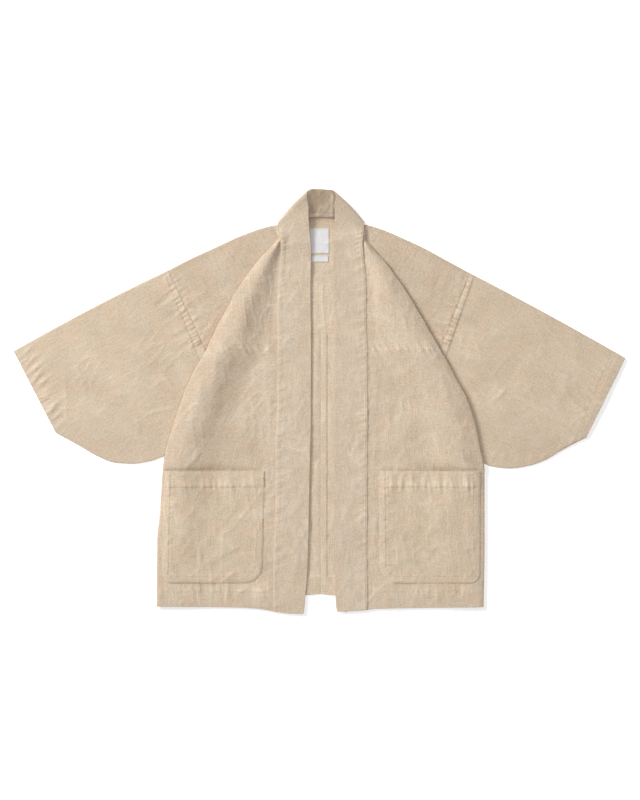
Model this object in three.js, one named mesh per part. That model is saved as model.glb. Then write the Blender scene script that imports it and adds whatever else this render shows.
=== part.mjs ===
// A happi coat of washed linen canvas, laid flat on its back with the fronts open and the
// sleeves drawn down. Millimetres, +Z up from the table, +Y towards the collar, +X to the right
// of someone who looks down at the front. The origin lies on the table under the middle of the
// laid coat. Left and right are as seen in that view.
//
// The coat is cut straight, so drawing the sleeves down leaves spare cloth at each armhole. It
// folds into one deep pleat on each side: the front rolls over at the visible edge, runs back
// under itself, and rolls over again onto the shoulder. Every piece is a wall of cloth through
// rows of points on its middle surface, moved out by half its thickness to either side.

import * as THREE from 'three';

// Cloth and making
const CANVAS = 1.2;            // one layer of the linen canvas, slubs and all
const COLLAR_THICK = 2.6;      // the collar band: two layers and the turnings between them
const LABEL_THICK = 1.0;
const SEAM_GAP = 0.3;          // clear space between two pieces at a seam
const POCKET_GAP = 0.5;        // clear space under the pocket, over the front
const TURNING = 0.8;           // what a turned hem or a felled seam adds to the cloth
const HALF = CANVAS / 2;

// Heights of the middle surfaces over the table
const BACK_Z = HALF;           // the back layers lie on the table
const SHOULDER_Z = 2.6;        // the upper layer of shoulder and sleeve, over the back layer
const CUFF_Z = 4.3;            // the upper layer at the cuff, where both layers carry a hem

// Levels along the coat
const YOKE_SEAM_Y = 101.5;     // the yoke's lower edge in front
const BACK_SEAM_Y = 133.5;     // the yoke's lower edge on the back
const YOKE_TOP_Y = 347;        // where the yoke's front meets the shoulder line
const CENTRE_SEAM_X = 3;       // the seam down the middle of the back
const FELL_WIDTH = 12;         // the felled centre seam
const ARM_FELL = 8;            // the felled armhole seam
const BACK_HEM = 34;           // depth of the back's hem
const FRONT_HEM = 29;          // depth of the fronts' hems
const STEP = 3;                // width over which a raised hem falls to the plain cloth
const ARMHOLE_FOOT = 3;        // the armhole's end over the yoke's lower edge in front

// Shape of the ridge that the spare cloth raises beside each pleat
const RIDGE_CREST = 34;        // from the rolled edge to the crest
const RIDGE_FOOT = 120;        // from the rolled edge to where the front lies low again
const CREST_SHARE = 0.35;      // where the front is narrow, the crest's share of its width
const FOOT_SHARE = 0.94;       // and the foot's

const columns = (names, rows) =>
  rows.map((row) => Object.fromEntries(names.split(' ').map((name, i) => [name, row[i]])));

// Distances from the middle of the coat: the rolled or side edge of each front, and the seam
// that joins it to the collar band.
const OUTLINE = columns('y leftEdge rightEdge leftSeam rightSeam', [
  [352, 87, 93, 82.5, 89.5],
  [310, 97, 102, 77.5, 86],
  [270, 130, 137, 79, 90],
  [230, 160, 167, 82, 93],
  [180, 188, 197, 84, 93],
  [140, 209, 221, 84, 94],
  [100, 228, 244, 84, 95.5],
  [50, 256, 271, 84, 96],
  [0, 276, 297, 84, 96],
  [-50, 293, 313, 86, 96],
  [-100, 307.5, 323, 88, 95.5],
  [-140, 314, 330, 87.5, 95.5],
  [-220, 319, 330, 88, 95.5],
  [-280, 325, 330, 91, 95],
  [-420, 326, 328, 93, 96],
]);

// The pleat. turn: how far the cloth rolls over; roll and tuckRoll: cloth taken by the visible
// and the hidden roll; tuck: straight cloth between them; under: height of the layer folded
// under; crest: rise of the ridge over the rolled edge; low: height of the front at the collar seam.
const PLEAT = columns('y turn roll tuckRoll tuck under crest low', [
  [347, 0, 5, 4, 0.6, 2.6, 0, 2.6],
  [338, 55, 5.5, 4, 1.5, 2.9, 0.5, 3.6],
  [326, 130, 7, 4, 2.5, 4.4, 1.2, 5.0],
  [312, 180, 8, 4.08, 6, 5.2, 2.0, 5.0],
  [270, 180, 9.6, 4.08, 22, 5.2, 3.6, 4.4],
  [230, 180, 10.7, 4.08, 34, 5.2, 5.0, 3.8],
  [180, 180, 11.3, 4.08, 44, 5.2, 5.8, 3.6],
  [100, 180, 11.3, 4.08, 54, 5.2, 6.2, 3.6],
  [40, 180, 11.3, 4.08, 52, 5.2, 5.8, 3.6],
  [0, 180, 11.3, 4.08, 44, 5.2, 5.4, 3.6],
  [-50, 180, 10.8, 4.08, 30, 5.2, 4.6, 3.6],
  [-100, 180, 9.5, 4.08, 10, 5.1, 3.8, 3.6],
  [-131, 180, 9.2, 4.08, 6, 5, 3.8, 3.6],
  [-141, 180, 8.8, 4.08, 5, 3, 4.4, 3.6],
  [-154, 180, 8.5, 4.08, 5, 2.4, 4, 3.6],
  [-220, 180, 7.8, 4.08, 5, 2.4, 2.6, 3.6],
  [-340, 180, 7, 4.08, 5, 2.6, 1.4, 4.0],
  [-420, 180, 5.8, 4.08, 5, 3.2, 0.6, 4.4],
]);

// The shoulder line, from the collar out to the armhole seam.
const SHOULDER = columns('x leftY rightY', [
  [82, 352.6, 353.5],
  [96, 350, 351.5],
  [111, 346.5, 347.5],
  [135, 338.5, 339],
  [159, 329.5, 328.5],
  [207, 307.5, 306.5],
  [255, 285.5, 280.5],
  [302, 261.5, 255],
]);

// The neck edge of the back, where the collar band is sewn on.
const NECK = columns('x y', [
  [0, 367.3],
  [24, 366.5],
  [48, 363.5],
  [60, 360],
  [70, 355.6],
  [78, 350],
]);

// Sleeve sections from the cuff to the armhole seam. top: distance from the middle of the coat
// to the section's upper end; x and y: its lower end on the rounded bottom edge.
const SLEEVE = {
  left: columns('top x y', [
    [612, 527, -64.5],
    [597, 512, -72.5],
    [560, 478, -91.5],
    [520, 444, -111],
    [480, 410, -123.5],
    [440, 375, -126],
    [405, 340, -121],
    [375, 305, -108],
    [345, 262, -86],
    [322, 218, -49],
    [310, 195, -24],
    [302, 179, -3],
  ]),
  right: columns('top x y', [
    [612, 533, -74.5],
    [597, 517, -82],
    [560, 482, -101],
    [520, 449, -120],
    [480, 415, -131],
    [440, 380, -135.5],
    [405, 345, -131.5],
    [375, 312, -117],
    [345, 272, -95],
    [322, 232, -58],
    [310, 209, -34],
    [301, 193, -14],
  ]),
};

// The edge of the back panels: armhole seam, hidden edge beside the sleeve, side seam.
const BACK_EDGE = columns('y left right', [
  [133.5, 241.5, 251.5],
  [60, 207.3, 222],
  [0, 177.5, 197.5],
  [-15, 181.5, 191],
  [-34, 199, 205],
  [-58, 224, 226],
  [-95, 271, 263],
  [-112, 300, 298],
  [-124, 310, 318],
  [-150, 313, 327],
  [-280, 323, 328],
  [-420, 324, 326],
]);

// Front edges of the collar band, and its height there.
const OPENING = columns('y left right z', [
  [402, 21, 30, 19],
  [372, 22, 31, 13.5],
  [335, 19.5, 29.5, 9],
  [300, 17, 28, 6.6],
  [230, 18, 29, 5],
  [100, 17, 31, 4.3],
  [-50, 17.5, 31, 4.2],
  [-126, 19.5, 31, 4.2],
  [-240, 21.5, 31, 4.2],
  [-348, 25, 31.5, 4.4],
  [-390, 29, 32.5, 4.8],
  [-430, 34, 37, 4.8],
]);

// Where the collar band starts to fold over at each side of the neck, at its two edges.
const NECK_FOLD = {
  left: { seam: [83, 351.9], open: [24, 402.4] },
  right: { seam: [89, 351.9], open: [32, 400.4] },
};
const FOLD_ROLL_SEAM = 3;      // radius of that fold at the seam edge
const FOLD_ROLL_OPEN = 9;      // and at the free edge, where the collar stands up
const FOLD_LEAN = 1.15;        // the standing collar leans on along the fold by this share more

const CUFF_TOP_Y = { left: 99.5, right: 85.5 };
const SHOULDER_POINT = { left: [302, 261.5], right: [301, 255.5] };
const ARMHOLE_SLOPE = { left: 0.467, right: 0.401 };
const SIGN = { left: -1, right: 1 };

// Patch pockets: distances of the two sides from the middle of the coat, at the top and at the
// bottom, and the radii of the lower corners.
const POCKET_TOP = -141;
const POCKET_BOTTOM = -364.5;
const POCKET_HEM = 31;
const POCKET_SIDES = {
  left: { inner: [110, 115], outer: [309, 315] },
  right: { inner: [119.5, 121], outer: [321, 321] },
};
const POCKET_CORNER = { inner: 36, outer: 20 };

// Smooth line through one column of a table, without overshoot between its rows.
function smooth(table, key, column) {
  const rows = [...table].sort((a, b) => a[key] - b[key]);
  const last = rows.length - 1;
  const rise = (i) => (rows[i + 1][column] - rows[i][column]) / (rows[i + 1][key] - rows[i][key]);
  const slope = rows.map((row, i) => {
    if (i === 0) return rise(0);
    if (i === last) return rise(last - 1);
    const [before, after] = [rise(i - 1), rise(i)];
    return before * after <= 0 ? 0 : (2 * before * after) / (before + after);
  });
  return (value) => {
    const at = THREE.MathUtils.clamp(value, rows[0][key], rows[last][key]);
    const i = Math.min(Math.max(rows.findIndex((row) => row[key] >= at) - 1, 0), last - 1);
    const span = rows[i + 1][key] - rows[i][key];
    const t = (at - rows[i][key]) / span;
    return (
      (1 + 2 * t) * (1 - t) ** 2 * rows[i][column] +
      t * (1 - t) ** 2 * span * slope[i] +
      t * t * (3 - 2 * t) * rows[i + 1][column] +
      t * t * (t - 1) * span * slope[i + 1]
    );
  };
}

const both = (table, key, left, right) => ({
  left: smooth(table, key, left),
  right: smooth(table, key, right),
});
const edgeAt = both(OUTLINE, 'y', 'leftEdge', 'rightEdge');
const seamAt = both(OUTLINE, 'y', 'leftSeam', 'rightSeam');
const shoulderAt = both(SHOULDER, 'x', 'leftY', 'rightY');
const backEdgeAt = both(BACK_EDGE, 'y', 'left', 'right');
const openingAt = both(OPENING, 'y', 'left', 'right');
const openingZ = smooth(OPENING, 'y', 'z');
const neckAt = smooth(NECK, 'x', 'y');
const pleatAt = Object.fromEntries(
  Object.keys(PLEAT[0]).map((column) => [column, smooth(PLEAT, 'y', column)]),
);

const mix = (a, b, t) => a + (b - a) * t;
const fractions = (steps) => Array.from({ length: steps + 1 }, (_, i) => i / steps);

// A point of a middle surface. over and under thicken the cloth on its outer and inner side.
const point = (x, y, z, over = 0, under = 0) =>
  Object.assign(new THREE.Vector3(x, y, z), { over, under });

// Armhole seam: distance from the middle of the coat at a height.
const armholeAt = (side, y) =>
  SHOULDER_POINT[side][0] - (SHOULDER_POINT[side][1] - y) * ARMHOLE_SLOPE[side];

// The cut lower edge of the fronts and the collar band, a little longer towards the middle.
const FRONT_HEM_EDGE = columns('x left right', [
  [34, -426.5, -421.8],
  [60, -425.3, -421],
  [93, -420.7, -418.5],
  [116, -416.5, -416],
  [160, -413.5, -415],
  [240, -412.3, -413.5],
  [330, -411.5, -412.5],
]);
const frontHemAt = both(FRONT_HEM_EDGE, 'x', 'left', 'right');
const backHemAt = smooth(
  columns('x y', [
    [0, -386.5],
    [31, -389.5],
    [150, -401],
    [326, -409],
  ]),
  'x',
  'y',
);

// Moves on from (x, z) along an arc that turns from one heading to another, both measured
// downwards from the outward direction, and returns the points of its steps.
function arc(x, z, length, from, to, steps) {
  const turn = (to - from) / steps;
  const chord = (length / steps) * (Math.abs(turn) < 1e-6 ? 1 : Math.sin(turn / 2) / (turn / 2));
  return fractions(steps)
    .slice(1)
    .map((_, i) => {
      const heading = from + (i + 0.5) * turn;
      x += chord * Math.cos(heading);
      z -= chord * Math.sin(heading);
      return [x, z];
    });
}

// Height of a front's upper layer: up from the rolled edge to the crest, then down to the
// collar seam. inward is the distance from where the roll starts.
function ridge(inward, width, edgeZ, crest, low) {
  const crestAt = Math.min(RIDGE_CREST, CREST_SHARE * width);
  const foot = Math.min(RIDGE_FOOT, FOOT_SHARE * width);
  const top = edgeZ + crest;
  if (inward < crestAt) return mix(edgeZ, top, Math.sin((Math.PI / 2) * (inward / crestAt)));
  const down = Math.min((inward - crestAt) / (foot - crestAt), 1);
  return low + (top - low) * (0.5 + 0.5 * Math.cos(Math.PI * down));
}

// Rows that go down the coat and outward on either side, put so that their outer side is up.
const upward = (side, grid) =>
  SIGN[side] < 0 ? grid.map((row) => [...row].reverse()) : grid;

// Closed wall of cloth through a grid of middle points. A ring's rows close on themselves.
function wall(grid, thickness, { ring = false } = {}) {
  const rows = grid.length;
  const across = grid[0].length;
  const wrap = (j) => (ring ? (j + across) % across : THREE.MathUtils.clamp(j, 0, across - 1));
  const hold = (i) => THREE.MathUtils.clamp(i, 0, rows - 1);
  const positions = [];
  const outer = [];
  const inner = [];
  grid.forEach((row, i) =>
    row.forEach((middle, j) => {
      const along = new THREE.Vector3().subVectors(grid[hold(i + 1)][j], grid[hold(i - 1)][j]);
      const over = new THREE.Vector3().subVectors(row[wrap(j + 1)], row[wrap(j - 1)]);
      const normal = along.cross(over).normalize();
      const index = i * across + j;
      const push = (store, distance) => {
        store[index] = positions.length / 3;
        positions.push(...middle.clone().addScaledVector(normal, distance).toArray());
      };
      push(outer, thickness / 2 + middle.over);
      push(inner, -thickness / 2 - middle.under);
    }),
  );
  const faces = [];
  const quad = (a, b, c, d) => faces.push(a, b, c, a, c, d);
  const cells = ring ? across : across - 1;
  for (let i = 0; i < rows - 1; i++) {
    for (let j = 0; j < cells; j++) {
      const here = i * across + j;
      const next = i * across + wrap(j + 1);
      quad(outer[here], outer[here + across], outer[next + across], outer[next]);
      quad(inner[here], inner[next], inner[next + across], inner[here + across]);
    }
  }
  const rim = (loop) => {
    for (let k = 0; k < loop.length - 1; k++) {
      quad(outer[loop[k]], outer[loop[k + 1]], inner[loop[k + 1]], inner[loop[k]]);
    }
  };
  const start = fractions(cells).map((_, j) => wrap(j));
  const end = start.map((j) => (rows - 1) * across + j);
  if (ring) {
    rim(start);
    rim([...end].reverse());
  } else {
    const left = grid.map((_, i) => i * across);
    const right = grid.map((_, i) => i * across + across - 1);
    rim([...start, ...right.slice(1), ...[...end].reverse().slice(1), ...left.reverse().slice(1)]);
  }
  const geometry = new THREE.BufferGeometry();
  geometry.setAttribute('position', new THREE.Float32BufferAttribute(positions, 3));
  geometry.setIndex(signedVolume(positions, faces) < 0 ? faces.reverse() : faces);
  geometry.computeVertexNormals();
  return geometry;
}

function signedVolume(positions, faces) {
  const corner = (k) => new THREE.Vector3().fromArray(positions, faces[k] * 3);
  let volume = 0;
  for (let k = 0; k < faces.length; k += 3) {
    volume += corner(k).dot(corner(k + 1).cross(corner(k + 2))) / 6;
  }
  return volume;
}

// Yoke front: one row of points from the collar seam out, over both rolls of the pleat and
// along the shoulder to the armhole. v runs from the yoke seam (0) to the shoulder line (1).
const YOKE_LEVELS = [YOKE_SEAM_Y + SEAM_GAP / 2, 140, 180, 220, 255, 285, 303, 315, 325, 334, 341];
const TOP_PLY = [1, 0.72, 0.5, 0.32, 0.16, 0];
const ROLL_STEPS = 5;
const TUCK_STEPS = 3;
const SHOULDER_STEPS = 4;
const SHOULDER_INSET = HALF + (SHOULDER_Z - BACK_Z) / 2;   // from the outline to where the roll starts

function yokeRow(side, y) {
  const pleat = (column) => pleatAt[column](y);
  const turn = THREE.MathUtils.degToRad(pleat('turn'));
  const seam = seamAt[side](y) + SEAM_GAP / 2;
  const rollStart = edgeAt[side](y) - HALF - pleat('roll') / Math.PI;
  const rolled = arc(0, 0, pleat('roll'), 0, turn, ROLL_STEPS);
  const [rollX, rollZ] = rolled.at(-1);
  const tuckX = rollX + pleat('tuck') * Math.cos(turn);
  const tuckZ = rollZ - pleat('tuck') * Math.sin(turn);
  const tucked = arc(tuckX, tuckZ, pleat('tuckRoll'), turn, 0, TUCK_STEPS);
  const edgeZ = SHOULDER_Z - tucked.at(-1)[1];
  const width = rollStart - seam;
  const top = TOP_PLY.map((share) => {
    const inward = share * width;
    const z = ridge(inward, width, edgeZ, pleat('crest'), Math.min(pleat('low'), edgeZ));
    return [rollStart - inward, z];
  });
  const pleated = [...rolled, [tuckX, tuckZ], ...tucked].map(([x, z]) => [rollStart + x, edgeZ + z]);
  const v = (y - YOKE_SEAM_Y) / (YOKE_TOP_Y - YOKE_SEAM_Y);
  const shoulderY = SHOULDER_POINT[side][1] - SHOULDER_INSET;
  const endY = mix(YOKE_SEAM_Y + ARMHOLE_FOOT, shoulderY, v);
  const endX = armholeAt(side, endY) - SEAM_GAP / 2;
  const startX = pleated.at(-1)[0];
  const under = fractions(SHOULDER_STEPS)
    .slice(1)
    .map((t) => [mix(startX, endX, t), SHOULDER_Z, mix(y, endY, t)]);
  return [...top, ...pleated, ...under].map(([x, z, level = y]) => {
    const out = Math.max(x - startX, 0) / (endX - startX);
    const bow = shoulderAt[side](x) - SHOULDER_INSET - mix(YOKE_TOP_Y, shoulderY, out);
    return point(SIGN[side] * x, level + v ** 3 * bow, z);
  });
}

// Over the shoulder: the row rolls round to the layer that lies on the table.
function shoulderRoll(side, row) {
  const radius = (SHOULDER_Z - BACK_Z) / 2;
  const run = new THREE.Vector3().subVectors(row.at(-1), row[0]).normalize();
  const out = new THREE.Vector3(-run.y * SIGN[side], run.x * SIGN[side], 0);
  return [Math.PI / 3, (2 * Math.PI) / 3, Math.PI].map((angle) =>
    row.map((p) => {
      const moved = p.clone().addScaledVector(out, radius * Math.sin(angle));
      return point(moved.x, moved.y, BACK_Z + radius + (p.z - BACK_Z - radius) * Math.cos(angle));
    }),
  );
}

// Yoke back: straight rows that fan out from the neck edge, first to the armhole, at a height y,
// then to the back seam, at a distance x. spread: how evenly the points of a row lie along it.
const FAN_TO_ARMHOLE = columns('neck y spread', [
  [80, 218, 0.4],
  [70, 175, 0.75],
  [60, BACK_SEAM_Y + SEAM_GAP / 2, 1],
]);
const FAN_TO_SEAM = columns('neck x', [
  [48, 190],
  [36, 140],
  [24, 92],
  [12, 46],
  [0, 0],
]);

function yokeFan(side, shoulderRow) {
  const fan = [
    ...FAN_TO_ARMHOLE.map((row) => ({ ...row, x: armholeAt(side, row.y) - SEAM_GAP / 2 })),
    ...FAN_TO_SEAM.map((row) => ({ ...row, y: BACK_SEAM_Y + SEAM_GAP / 2, spread: 1 })),
  ];
  const across = shoulderRow.length - 1;
  const clustered = shoulderRow.map(
    (p) => (p.x - shoulderRow[0].x) / (shoulderRow[across].x - shoulderRow[0].x),
  );
  return fan.map(({ neck, x, y, spread }) =>
    clustered.map((share, j) => {
      const t = mix(share, j / across, spread);
      return point(SIGN[side] * mix(neck, x, t), mix(neckAt(neck) - SEAM_GAP, y, t), BACK_Z);
    }),
  );
}

function yoke() {
  const half = (side) => {
    const front = [...YOKE_LEVELS, YOKE_TOP_Y].map((y) => yokeRow(side, y));
    const roll = shoulderRoll(side, front.at(-1));
    return [...front, ...roll, ...yokeFan(side, roll.at(-1))];
  };
  const right = half('right').reverse().slice(1);
  return wall([...half('left'), ...right], CANVAS);
}

// Lower fronts. The columns follow the pocket's edges, so that the pocket can be laid over them.
const FRONT_SHARES = [0, 0.2, 0.4, 0.58, 0.74, 0.88, 1];
const FRONT_LEVELS = [YOKE_SEAM_Y - SEAM_GAP / 2, 62, 22, -18, -56, -90, -112, -131];
const POCKET_LEVELS = [
  ...[POCKET_TOP, POCKET_TOP - POCKET_HEM + STEP / 2, POCKET_TOP - POCKET_HEM - STEP / 2],
  ...[-215, -260, -300, -330, -346, -358, POCKET_BOTTOM],
];
const PLAIN_INSET = { inner: 24, outer: 3 };   // the same columns above the pocket, from both edges
const PLAIN_BLEND = 20;                        // height over which the columns move there

const pocketLine = (side, line, y) => {
  const [high, low] = POCKET_SIDES[side][line];
  return mix(high, low, THREE.MathUtils.clamp((POCKET_TOP - y) / (POCKET_TOP - POCKET_BOTTOM), 0, 1));
};

// One row of a front. turning thickens it inward for the hem; the last row follows the cut edge.
function frontRow(side, y, { turning = 0, cut = false } = {}) {
  const pleat = (column) => pleatAt[column](y);
  const seam = seamAt[side](y) + SEAM_GAP / 2;
  const radius = pleat('roll') / Math.PI;
  const rollStart = edgeAt[side](y) - HALF - radius;
  const under = pleat('under');
  const edgeZ = under + 2 * radius;
  const above = THREE.MathUtils.clamp((y - POCKET_TOP) / PLAIN_BLEND, 0, 1);
  const innerLine = mix(pocketLine(side, 'inner', y), seam + PLAIN_INSET.inner, above);
  const outerLine = mix(pocketLine(side, 'outer', y), rollStart - PLAIN_INSET.outer, above);
  const across = [seam, ...FRONT_SHARES.map((share) => mix(innerLine, outerLine, share)), rollStart];
  const top = across.map((x) => {
    const z = ridge(rollStart - x, rollStart - seam, edgeZ, pleat('crest'), pleat('low'));
    return [x, z];
  });
  const rolled = arc(rollStart, edgeZ, pleat('roll'), 0, Math.PI, 4);
  const tuck = [0.5, 1].map((t) => [rollStart - t * pleat('tuck'), under]);
  return [...top, ...rolled, ...tuck].map(([x, z]) =>
    point(SIGN[side] * x, cut ? frontHemAt[side](x) : y, z, 0, turning),
  );
}

function frontRows(side) {
  const hemY = FRONT_HEM_EDGE.at(-1)[side];
  const levels = [...FRONT_LEVELS, ...POCKET_LEVELS, hemY + FRONT_HEM + STEP];
  const hem = { turning: TURNING };
  return [
    ...levels.map((y) => frontRow(side, y)),
    frontRow(side, hemY + FRONT_HEM, hem),
    frontRow(side, hemY, { ...hem, cut: true }),
  ];
}

const front = (side) => wall(upward(side, frontRows(side)), CANVAS);

// Point of a row of the front where it crosses a distance from the middle of the coat.
function acrossRow(row, x) {
  const j = row.findIndex((p, k) => k > 0 && Math.abs(p.x) >= x) - 1;
  const [a, b] = [row[j], row[j + 1]];
  return a.clone().lerp(b, (x - Math.abs(a.x)) / (Math.abs(b.x) - Math.abs(a.x)));
}

function pocket(side) {
  const rows = frontRows(side).slice(FRONT_LEVELS.length, FRONT_LEVELS.length + POCKET_LEVELS.length);
  const round = (radius, height) => {
    const below = Math.max(radius - height, 0);
    return radius - Math.sqrt(radius * radius - below * below);
  };
  const lift = CANVAS + POCKET_GAP;
  const grid = rows.map((row) => {
    const height = row[0].y - POCKET_BOTTOM;
    const from = pocketLine(side, 'inner', row[0].y) + round(POCKET_CORNER.inner, height);
    const to = pocketLine(side, 'outer', row[0].y) - round(POCKET_CORNER.outer, height);
    return FRONT_SHARES.map((share) => {
      const p = acrossRow(row, mix(from, to, share));
      return point(p.x, p.y, p.z + lift, p.y > POCKET_TOP - POCKET_HEM ? TURNING : 0);
    });
  });
  return wall(upward(side, grid), CANVAS);
}

// Sleeve: a tube pressed flat, open at the cuff and at the armhole. Each ring runs down the
// upper layer, rolls round the bottom edge, and returns along the table to the top edge.
const SLEEVE_UPPER_STEPS = 7;
const SLEEVE_LOWER_STEPS = 4;
const SLEEVE_TOP_BOW = { left: 4, right: 2.5 };
const CUFF_FADE = 4;           // sections over which the cuff's extra height dies out
const SLEEVE_LIFT = columns('x lift', [
  [290, 0],
  [325, 0.8],
  [370, 2],
  [450, 2.6],
  [540, 2],
  [600, 0.8],
  [612, 0.5],
]);
const sleeveLiftAt = smooth(SLEEVE_LIFT, 'x', 'lift');

// The two ends of a sleeve's section, on the top edge and on the bottom edge.
function sleeveEnds(side, section) {
  const [shoulderX, shoulderY] = SHOULDER_POINT[side];
  const t = (section.top - shoulderX) / (SLEEVE[side][0].top - shoulderX);
  const topY = mix(shoulderY, CUFF_TOP_Y[side], t) + SLEEVE_TOP_BOW[side] * 4 * t * (1 - t);
  return {
    high: new THREE.Vector3(SIGN[side] * section.top, topY, 0),
    low: new THREE.Vector3(SIGN[side] * section.x, section.y, 0),
  };
}

function sleeveRing(side, { high, low, highSine, lowSine, z, over = 0, under = 0 }) {
  const radius = (z - BACK_Z) / 2;
  const down = new THREE.Vector3().subVectors(low, high);
  const first = (radius + HALF) / highSine;
  const last = down.length() - (radius + HALF) / lowSine;
  down.normalize();
  const place = (run, height, thickOver) => {
    const p = high.clone().addScaledVector(down, run);
    return point(p.x, p.y, height, thickOver, under);
  };
  const upper = fractions(SLEEVE_UPPER_STEPS).map((s) => {
    const p = place(mix(first, last, s), z, over);
    p.z += sleeveLiftAt(Math.abs(p.x)) * Math.sin(Math.PI * s) ** 0.8;
    return p;
  });
  const lower = fractions(SLEEVE_LOWER_STEPS).map((s) => place(mix(last, first, s), BACK_Z, 0));
  const roll = (at, sweep, fromTop) =>
    [0.25, 0.5, 0.75].map((s) => {
      const angle = Math.PI * s;
      return place(at + sweep * Math.sin(angle), BACK_Z + radius + fromTop * radius * Math.cos(angle), 0);
    });
  return [...upper, ...roll(last, radius / lowSine, 1), ...lower, ...roll(first, -radius / highSine, -1)];
}

function sleeve(side) {
  const table = SLEEVE[side];
  const last = table.length - 1;
  const between = (i, j, t) => ({
    top: mix(table[i].top, table[j].top, t),
    x: mix(table[i].x, table[j].x, t),
    y: mix(table[i].y, table[j].y, t),
  });
  const plainCuff = CUFF_Z - TURNING / 2;
  const plain = table.slice(2, last - 1).map((section, i) => ({
    ...section,
    z: mix(plainCuff, SHOULDER_Z, Math.min((i + 1) / CUFF_FADE, 1)),
  }));
  const sections = [
    { ...table[0], z: CUFF_Z, under: TURNING },
    { ...table[1], z: CUFF_Z, under: TURNING },
    { ...between(1, 2, 0.08), z: plainCuff },
    ...plain,
    { ...between(last - 1, last - 2, 0.1), z: SHOULDER_Z },
    { ...table[last - 1], z: SHOULDER_Z, over: TURNING },
    { ...between(last, last - 1, SEAM_GAP / 2 / ARM_FELL), z: SHOULDER_Z, over: TURNING },
  ];
  const ends = sections.map((section) => sleeveEnds(side, section));
  const rings = sections.map((section, i) => {
    const { high, low } = ends[i];
    const [before, after] = [ends[Math.max(i - 1, 0)], ends[Math.min(i + 1, ends.length - 1)]];
    const down = new THREE.Vector3().subVectors(low, high);
    const sine = (end) => Math.sin(down.angleTo(new THREE.Vector3().subVectors(after[end], before[end])));
    return sleeveRing(side, { ...section, high, low, highSine: sine('high'), lowSine: sine('low') });
  });
  return wall(SIGN[side] < 0 ? rings.reverse() : rings, CANVAS, { ring: true });
}

// Back panels, flat on the table. The hem and the felled centre seam are thicker on the inside,
// which shows between the fronts.
const BACK_LEVELS = [BACK_SEAM_Y - SEAM_GAP / 2, 60, 0, -15, -34, -58, -95, -112, -124, -150, -220, -300];

function backPanel(side) {
  const near = side === 'left' ? -CENTRE_SEAM_X + SEAM_GAP / 2 : CENTRE_SEAM_X + SEAM_GAP / 2;
  const fell = side === 'right' ? [0, FELL_WIDTH, FELL_WIDTH + STEP / 3] : [0, FELL_WIDTH];
  const hemStarts = backHemAt(0) + BACK_HEM;
  const hemLevels = [
    [hemStarts + STEP, 0],
    [hemStarts, TURNING],
    [null, TURNING],
  ];
  const levels = [...BACK_LEVELS.map((y) => [y, 0]), ...hemLevels];
  const grid = levels.map(([y, thick]) => {
    const far = backEdgeAt[side](y ?? BACK_EDGE.at(-1).y);
    const inside = fell.map((offset) => near + offset);
    const outside = [0.2, 0.4, 0.6, 0.8, 1].map((t) => mix(inside.at(-1), far, t));
    return [...inside, ...outside].map((x, j) => {
      const felled = side === 'right' && j < 2 ? TURNING : 0;
      return point(SIGN[side] * x, y ?? backHemAt(Math.abs(x)), BACK_Z, Math.max(thick, felled));
    });
  });
  return wall(upward(side, grid), CANVAS);
}

// Collar band: a ribbon that runs up one front, folds over at the side of the neck, crosses
// the back on the table, and comes down the other front. Along its seam it has a row wherever
// the yoke and the front have one.
const BAND_ACROSS = 5;
const BAND_OVER_SEAM = 0.4;    // the thicker band's middle over that of the front
const BAND_NECK_RISE = 3.4;    // how far the seam edge rises towards the fold at the neck
const BAND_RISE_FROM = 280;
const BAND_LEVELS = [
  ...[-382, ...POCKET_LEVELS.slice(3, 8).reverse(), POCKET_TOP - POCKET_HEM - STEP / 2, POCKET_TOP],
  ...FRONT_LEVELS.slice(1).reverse(),
  ...YOKE_LEVELS.slice(0, 7),
];
const BAND_NECK = columns('seamY openY', [
  [315, 317],
  [325, 331],
  [334, 347],
  [341, 366],
  [347, 386],
]);
const FOLD_TURNS = [0, 0.17, 0.33, 0.5, 0.67, 0.83, 1];
const NECK_STATIONS = [60, 48, 36, 24, 12, 0];
const COLLAR_RISE = 2.05;      // how far the free edge bows up behind the neck

function bandRow(side, seamY, openY, cut = false) {
  const seamX = seamAt[side](seamY) - SEAM_GAP / 2;
  const openX = openingAt[side](openY);
  const rise = BAND_NECK_RISE * THREE.MathUtils.smoothstep(seamY, BAND_RISE_FROM, YOKE_TOP_Y);
  const seamZ = pleatAt.low(seamY) + BAND_OVER_SEAM + rise;
  const openZ = openingZ(openY);
  return fractions(BAND_ACROSS).map((t) => {
    const x = mix(seamX, openX, t);
    const y = cut ? frontHemAt[side](x) : mix(seamY, openY, t);
    return point(SIGN[side] * x, y, mix(seamZ, openZ, t));
  });
}

// The fold at 45 degrees. The ribbon runs on along the fold by the length of its roll.
function neckFold(side) {
  const { seam, open } = NECK_FOLD[side];
  const axis = new THREE.Vector3(-SIGN[side], 1, 0).normalize();
  const out = new THREE.Vector3(SIGN[side], 1, 0).normalize();
  return FOLD_TURNS.map((share) =>
    fractions(BAND_ACROSS).map((t) => {
      const radius = mix(FOLD_ROLL_SEAM, FOLD_ROLL_OPEN, t);
      const angle = Math.PI * share;
      const p = new THREE.Vector3(SIGN[side] * mix(seam[0], open[0], t), mix(seam[1], open[1], t), 0);
      p.addScaledVector(out, radius * Math.sin(angle));
      p.addScaledVector(axis, FOLD_LEAN * radius * angle);
      return point(p.x, p.y, COLLAR_THICK / 2 + radius + radius * Math.cos(angle));
    }),
  );
}

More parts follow.
